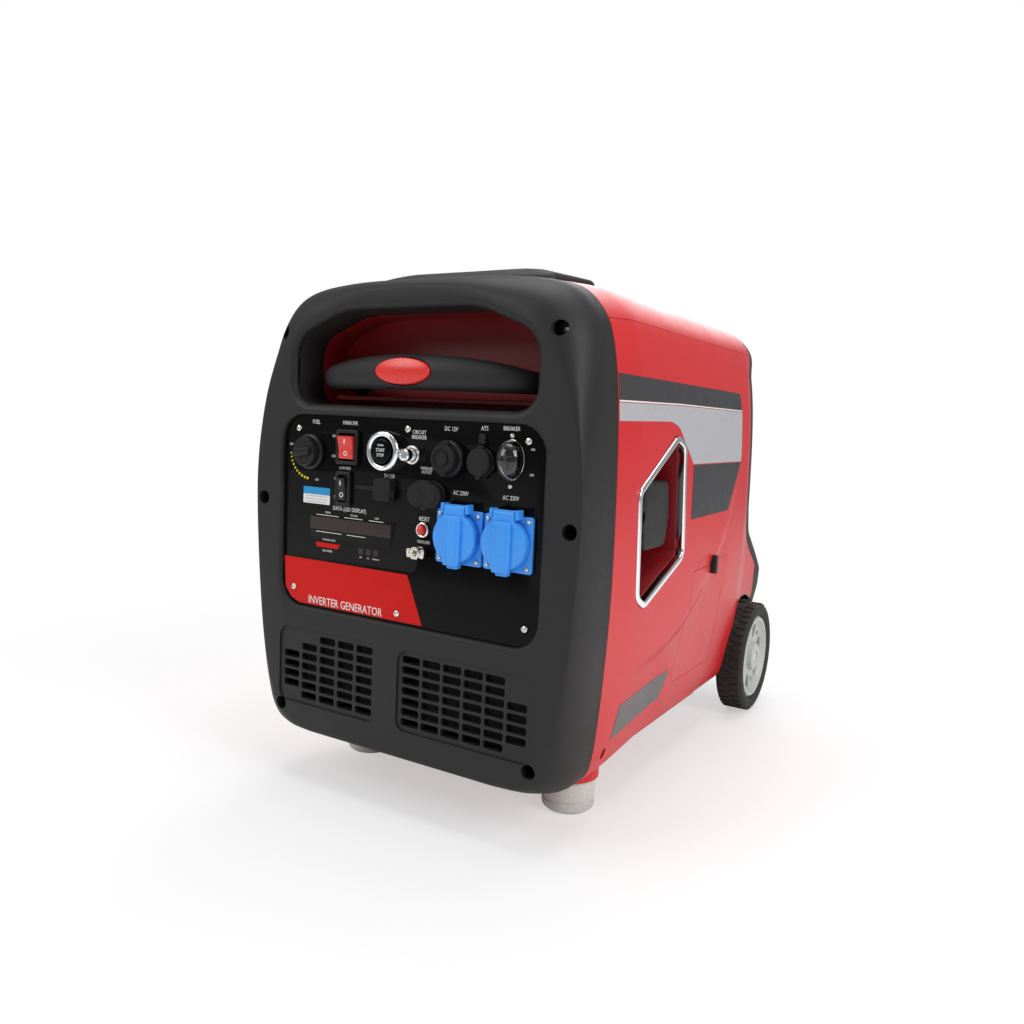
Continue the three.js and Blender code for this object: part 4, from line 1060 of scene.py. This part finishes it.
def buttons():
    ring_piece = lathe("start_bezel", ring_profile(12.9, 19.4, 4.2, -4.9, 3.4), (START[0], 0, START[1]),
                       "y", 96)
    done(ring_piece, CHROME, "casing", "chrome", "start_ring")
    key = lathe("start_key_face", round_profile(11.8, 11.5, -5.0, 1.6, dome=0.7), (START[0], 0, START[1]),
                "y", 64)
    done(key, GLOSS, "start_key", "black_plastic", "start_button")
    caption = join("start_caption", [words("START", START[0], START[1] + 0.8, 2.6, -5.75),
                                     words("STOP", START[0], START[1] - 4.0, 2.6, -5.7),
                                     words("ENGINE", START[0], START[1] + 5.4, 1.5, -5.65)])
    done(caption, INK_WHITE, "start_key", "black_plastic")
    barrel = lathe("breaker_barrel",
                   [(0, 9.8), (5.9, 9.8), (5.9, -2), (5.3, -2.4), (5.3, -3.2), (5.9, -3.6), (5.9, -9.6),
                                      (5.0, -10.8), (3.4, -10.9), (3.1, -10.2), (0, -10.1)], (10, 0, 352),
                   "y", 40)
    done(barrel, CHROME, "breaker_key", "bare_aluminium", "breaker_button")
    collar = lathe("breaker_collar", ring_profile(6.3, 9.0, 4.2, 1.5, 1.2), (10, 0, 352), "y", 48)
    done(collar, SCREW, "casing", "bare_aluminium")
    key = lathe("reset_key_cap", round_profile(4.4, 9.8, -1.0, 1.6, dome=0.9), (25, 0, 283), "y", 32)
    done(key, BUTTON_RED, "reset_key", "red_button", "reset_button")
    bezel = lathe("reset_bezel", ring_profile(4.8, 7.4, 4.2, 1.6, 1.4), (25, 0, 283), "y", 48)
    done(bezel, CHROME, "casing", "chrome")
    stem = lathe("terminal_stem", [(0, 1), (2.4, 1), (2.4, -12.6), (1.6, -13.6), (0, -13.7)],
                 (24, 0, 262), "y", 24)
    base = slab("base", disc(24, 262, 6, 6), 1, 3.9, edge=0.4)
    done(join("terminal_post", [stem, base]), SCREW, "casing", "steel", "ground_terminal")
    nut = slab("terminal_nut", disc(24, 262, 6.5, 6), -7.9, -2.1, edge=0.6, holes=[disc(24, 262, 2.8, 24)])
    wings = [slab("wing", rounded([(24 + s * 3.4, 258.4), (24 + s * 9.4, 256.8), (24 + s * 10.6, 266),
                           (24 + s * 3.4, 265)], 1.8), -6.4, -3.8, edge=0.5) for s in (-1, 1)]
    done(join("terminal_wing_nut", [nut, *wings]), SCREW, "earth_nut", "steel", "ground_nut")


def caps():
    flange = lathe("outlet_flange",
                   [(10.6, 27.8), (12.8, 27.8), (12.8, 4.3), (16.9, 4.3), (16.9, -0.4), (15.6, -1.9),
                                     (12.0, -1.9), (10.6, -0.8), (10.6, 27.8)], (52, 0, 351), "y", 72)
    done(flange, DARK, "casing", "black_plastic", "dc_outlet")
    cap = lathe("cap", [(0, -2.5), (12.8, -2.5), (12.8, -7.4), (11.6, -8.8), (9.4, -8.8), (8.8, -7.6),
                        (6.2, -7.4), (5.8, -8.8), (0, -8.9)], (52, 0, 351), "y", 64)
    strap = slab("strap", plate(52, 364.6, 7.6, 5.4, 1.6), -4.6, -2.6, edge=0.5)
    tab = slab("tab", plate(52, 337.4, 7, 4, 1.6), -6.4, -3.6, edge=0.6)
    done(join("dc_cap_moulded", [cap, strap, tab]), RUBBER, "cap_dc", "cap_rubber", "dc_cap")
    cap = lathe("cap", round_profile(12.4, 0.5, -4.2, 1.4, dome=0.6), (88, 0, 350), "y", 64)
    strap = slab("strap", plate(88, 363.2, 7.4, 3.8, 1.4), -1.4, 0.5, edge=0.5)
    tab = slab("tab", rounded([(84.6, 341), (91.4, 341), (90, 334.6), (86, 334.6)], 1.8), -3.6, -0.8,
               edge=0.6)
    done(join("ats_cap_moulded", [cap, strap, tab]), RUBBER, "cap_ats", "cap_rubber", "ats_cap")
    anchor = [slab("anchor", plate(88, 370.6, 7, 9.6, 2), 1.4, 4.2, edge=0.6),
              slab("anchor", disc(88, 350, 13.6), 1.0, 4.2, edge=0.6)]
    done(join("ats_collar", anchor), RUBBER, "casing", "cap_rubber")
    cover = slab("cover", plate(-20, 317, 20.6, 20.6, 3.4), -4.2, 0.5, edge=1.3)
    lip = slab("lip", plate(-8.6, 314, 4, 8, 1.6), -2.4, -0.4, edge=0.5)
    done(join("usb_cover_moulded", [cover, lip]), RUBBER, "cap_usb", "cap_rubber", "usb_cover")
    strap = [slab("strap", rounded([(-58, 315), (-31, 314.6), (-31, 319.4), (-58, 319)], 1.6), 2.4, 4.2,
                  edge=0.5), slab("collar", plate(-20, 317, 22.4, 22.4, 4), 1.0, 4.2, edge=0.6)]
    done(join("usb_strap", strap), RUBBER, "casing", "cap_rubber")
    lobes = [slab("lobe", disc(30 + s * 7.6, 316, 11.4, 48), -4.5 + 0.1 * s, 0.45 + 0.03 * s,
                  edge=1.2) for s in (-1, 1)]
    raised = [slab("raised", disc(30 + s * 8.2, 316, 6.4, 40), -4.9, -4.0, edge=0.3) for s in (-1, 1)]
    tabs = [slab("tab", plate(30, 324.6, 16, 9.6, 2.4), -4.1, 0.4, edge=1),
            slab("tab", plate(30, 305, 8, 5.6, 2.2), -3.4, 0.35, edge=0.8)]
    done(join("parallel_cover_moulded", [*lobes, *raised, *tabs]), RUBBER, "cap_parallel", "cap_rubber",
         "parallel_cover")
    collar = slab("parallel_collar", plate(30, 317, 40, 25.4, 12.6), 1.0, 4.2, edge=0.6)
    done(collar, RUBBER, "casing", "cap_rubber")


def breaker():
    turns = np.linspace(0, math.pi / 2, 13)
    outer = [(18 * math.cos(t), 4.0 - 15.8 * math.sin(t)) for t in turns]
    inner = [(16.9 * math.cos(t), 4.0 - 14.6 * math.sin(t)) for t in turns[::-1]]
    shell = lathe("breaker_bubble", [*outer, *inner, outer[0]], (0, 0, 354), "y", 64)
    shell.data.transform(Matrix.Diagonal((12.9 / 18, 1, 1, 1)))
    shell.data.transform(Matrix.Translation((118 * MM, 0, 0)))
    done(shell, CLEAR, "casing", "clear_plastic", "breaker_dome", smooth=60)
    body = slab("breaker_housing", plate(118, 354, 13, 24, 1.6), 1.5, 4.0, edge=0.4,
                holes=[plate(118, 354, 8, 18, 0.8)])
    done(body, DARK, "casing", "black_plastic", "breaker_body")
    key = x_slab("breaker_lever",
                 rounded([(3.4, 351.6), (3.2, 356.4), (-6.6, 358.4), (-7.4, 354.6)], 1.4), 115.2, 120.8,
                 edge=0.5)
    done(key, DARK, "toggle", "black_plastic", "breaker_toggle")


def sockets():
    for x, name in zip(SOCKET_X, ("left", "right")):
        plate_piece = slab("plate", plate(x, SOCKET_Z, 49.8, 49.8, 2.4), 0.1, 4.0, edge=0.8,
                           holes=[disc(x, SOCKET_Z, 18.1, 64)])
        well = lathe("well", [(18.2, 2), (20.9, 2), (20.9, 39.8), (0, 39.8), (0, 34), (18.2, 34), (18.2, 2)],
                     (x, 0, SOCKET_Z), "y", 64)
        ears = [slab("ear", plate(x + s * 13.2, SOCKET_Z + 26.6, 3, 8.6, 1), -8.8, 0.8,
                     edge=0.4) for s in (-1, 1)]
        done(join("socket_body_" + name, [plate_piece, well, *ears]), BLUE, "casing", "socket_blue",
             "socket_" + name)
        screws("socket_screws_" + name,
               [(x + a * 20.6, 0.2, SOCKET_Z + b * 20.6) for a in (-1, 1) for b in (-1, 1)], "casing", 2.1)
        cover = slab("cover", disc(x, SOCKET_Z, 22.9, 96), -8.9, -0.5, edge=1.4)
        carve(cover, [slab("cut", plate(x, SOCKET_Z + 30, 60, 20.6, 0.4), -20, 5)])
        rib = slab("rib", plate(x, SOCKET_Z - 2.4, 17, 45, 1.6), -12.2, -8, edge=0.9)
        strips = [slab("strip", plate(x + s * 5.6, SOCKET_Z - 2.4, 1, 38, 0.4, 2), -12.45, -12,
                       edge=0.15) for s in (-1, 1)]
        tab = slab("tab", plate(x, SOCKET_Z - 24.6, 12, 6.6, 1.6), -9.4, -2.6, edge=0.9)
        block = slab("block", plate(x, SOCKET_Z + 22, 21.6, 13.4, 1.6), -9.6, -3.2, edge=1.1)
        barrel = lathe("barrel", round_profile(3.7, x - 10.9, x + 10.9, 0.5), (0, -5, SOCKET_Z + 26.5),
                       "x", 32)
        done(join("socket_cover_" + name, [cover, rib, *strips, tab, block, barrel]), BLUE, "lid_" + name,
             "socket_blue", "socket_lid_" + name)


# ---------------------------------------------------------------- recoil starter and side labels
def starter():
    trim = x_slab("starter_surround", window(0.2), 187.5, 196.6, edge=1.5, holes=[window(7.0)])
    done(trim, CHROME, "casing", "chrome", "starter_trim", smooth=45)
    wall = x_slab("wall", window(4.6), 146.2, 188.5, edge=0.4, holes=[window(7.6)])
    back = x_slab("back", window(4.8), 146.2, 150, edge=0.4)
    eye = lathe("eye", [(0, 130), (4.4, 130), (4.4, 160), (0, 160)], (0, 186, 299), "x", 32)
    # The starter recess takes the darker red as well, which is painted shade for the inside of the window.
    done(join("starter_tub", [wall, carve(back, [eye])]), RECESS_RED_PAINTED_SHADE, "casing", "red_plastic",
         "starter_recess")
    ferrule = lathe("rope_eye", ring_profile(3.2, 7.5, 149, 153.0, -1.8), (0, 186, 299), "x", 40)
    done(ferrule, DARK, "casing", "red_plastic")
    outline = rounded([(156, 264), (214, 264), (222, 296), (216, 334), (158, 334), (150, 299)], 11)
    grip = x_slab("starter_pull_grip", outline, 160.2, 183.8, edge=4, rings=4)
    carve(grip, [lathe("finger", [(0, 150), (9, 150), (9, 200), (0, 200)], (0, 146, z), "x",
                       40) for z in (278, 299, 320)])
    done(grip, BLACK, "pull_grip", "black_plastic", "starter_grip", smooth=40)
    rope = lathe("starter_cord", [(0, 136), (2, 136),
                                  *[(2 + 0.22 * (i % 2), 137 + 0.9 * i) for i in range(25)], (2, 159.8),
                                  (0, 159.8)], (0, 186, 299), "x", 16)
    rope.data.shade_smooth()
    rope.data.materials.append(ROPE)
    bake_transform(rope)
    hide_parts("starter_rope")


def side_patch(name, outline, material, side=1, lift=0.28):
    """A thin film that follows the casing's side."""
    ys = [p[0] for p in outline]
    base = flank_line(side)
    film = skin(name, lambda y, inset: base(y, inset - lift), np.linspace(min(ys) - 2, max(ys) + 2, 46), 0.5)
    low, high = sorted((130 * side, 215 * side))
    carve(film, [x_slab("outline", outline, low, high)], "INTERSECT")
    return done(film, material, "casing", "red_plastic", smooth=30)


def labels():
    for side, name in ((1, "right"), (-1, "left")):
        side_patch("label_dark_band_" + name,
                   [(64, 409), (215, 411.4), (429, 411.4), (422, 433), (64, 434)], FILM_DARK, side)
        side_patch("label_grey_" + name,
                   rounded([(64, 392), (188, 394), (210, 389), (256, 350), (430, 350), (429, 410.6),
                                                  (215, 410.6), (64, 408.2)], [1, 40, 20, 4, 1, 1, 1, 1],
                           5), FILM_GREY, side)
        side_patch("label_dark_box_" + name, [(257, 290), (386, 292), (429, 349), (257, 349)], FILM_DARK,
                   side)
        side_patch("label_stripe_" + name,
                   [(64, 409), (215, 411.4), (429, 411.4), (429, 412.6), (215, 412.6), (64, 410.4)],
                   INK_WHITE, side, 0.34)
    side_patch("label_operation", [(109, 121), (257, 121), (237, 93), (96, 90)], FILM_MANUAL)


# ---------------------------------------------------------------- what the casing hides
def inner_parts():
    finishes = {"engine": CAST, "inverter_module": CAST, "crankshaft": STEEL, "fuel_tank": BLACK,
                "battery": DARK, "recoil_pulley": GREY, "handle_guide_left": BLACK,
                "handle_guide_right": BLACK, "base_pan": RED, "axle": SCREW}
    for name, material in finishes.items():
        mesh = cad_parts[name].data
        mesh.materials.clear()
        mesh.materials.append(material)


# ---------------------------------------------------------------- studio
def studio():
    world = bpy.data.worlds.new("studio")
    bpy.context.scene.world = world
    world.use_nodes = True
    tree = world.node_tree
    tree.nodes.clear()
    new = tree.nodes.new
    rays, out, mix = new("ShaderNodeLightPath"), new("ShaderNodeOutputWorld"), new("ShaderNodeMixShader")
    room, white = new("ShaderNodeBackground"), new("ShaderNodeBackground")
    room.inputs[0].default_value, room.inputs[1].default_value = (0.90, 0.91, 0.93, 1), 0.34
    white.inputs[0].default_value, white.inputs[1].default_value = (1, 1, 1, 1), 1.0
    tree.links.new(rays.outputs["Is Camera Ray"], mix.inputs[0])
    tree.links.new(room.outputs[0], mix.inputs[1])
    tree.links.new(white.outputs[0], mix.inputs[2])
    tree.links.new(mix.outputs[0], out.inputs[0])
    floor_finish = Finish("studio_floor", **{"Specular IOR Level": 0.2, "Roughness": 0.6})
    tone = floor_finish.noise(2.0, 2.0).between(0.3, 0.7)
    away = floor_finish.axis("X") * floor_finish.axis("X") + floor_finish.axis("Y") * floor_finish.axis("Y")
    seen = Value(floor_finish, floor_finish.node("ShaderNodeLightPath").outputs["Is Camera Ray"])
    glow = floor_finish.node("ShaderNodeEmission", {}, {"Color": (1, 1, 1, 1), "Strength": 1.0})
    fade = floor_finish.node("ShaderNodeMixShader", {}, [away.between(0.08, 1.1, 0.5, 1.0) * seen,
                                                         floor_finish.shader.outputs[0], glow.outputs[0]])
    floor_finish.feed(floor_finish.output.inputs["Surface"], fade.outputs[0])
    floor_finish.set(Base_Color=floor_finish.mix(tone, (0.90, 0.90, 0.90, 1), (0.93, 0.93, 0.93, 1)))
    mesh = bpy.data.meshes.new("studio_floor")
    reach = 9.0
    mesh.from_pydata([(-reach, -reach, -0.0006), (reach, -reach, -0.0006), (reach, reach, -0.0006),
                      (-reach, reach, -0.0006)], [], [(0, 1, 2, 3)])
    mesh.materials.append(floor_finish.material)
    stage = [link("studio_floor", mesh)]
    for name, spot, size, watts in (("softbox_front", (-1.5, -2.2, 1.9), 1.5, 32),
                                    ("softbox_right", (2.4, -0.5, 1.6), 1.3, 36),
                                    ("softbox_top", (0.0, 0.1, 2.6), 2.0, 40),
                                    ("softbox_rear", (-0.6, 2.6, 1.8), 1.4, 20)):
        light = bpy.data.lights.new(name, "AREA")
        light.shape, light.size, light.energy = "SQUARE", size, watts
        lamp = bpy.data.objects.new(name, light)
        lamp.location = spot
        lamp.rotation_euler = (Vector((0, 0, 0.25)) - Vector(spot)).to_track_quat("-Z", "Y").to_euler()
        bpy.context.scene.collection.objects.link(lamp)
        stage.append(lamp)
    bpy.context.scene.view_settings.view_transform = "Standard"


def camera():
    yaw, pitch, roll = 0.53994647, 0.1060302, -0.04451112
    ahead = Vector((-math.sin(yaw) * math.cos(pitch), math.cos(yaw) * math.cos(pitch), -math.sin(pitch)))
    right = Vector((math.cos(yaw), math.sin(yaw), 0))
    down = ahead.cross(right)
    across = right * math.cos(roll) + down * math.sin(roll)
    below = down * math.cos(roll) - right * math.sin(roll)
    data = bpy.data.cameras.new("main_view")
    data.lens, data.sensor_width = 30.4846, 36.0
    eye = bpy.data.objects.new("main_view", data)
    turn = Matrix((across, -below, -ahead)).transposed().to_4x4()
    eye.matrix_world = Matrix.Translation((0.50816, -0.64223 + FACE_Y, 0.38890)) @ turn
    bpy.context.scene.collection.objects.link(eye)
    bpy.context.scene.camera = eye


front_cover()
handle_recess()
side_panels()
liners()
top()
rear()
wheel(-1, "left")
wheel(1, "right")
feet()
handle()
panel()
knob_and_switches()
buttons()
caps()
breaker()
sockets()
starter()
labels()
inner_parts()
studio()
camera()
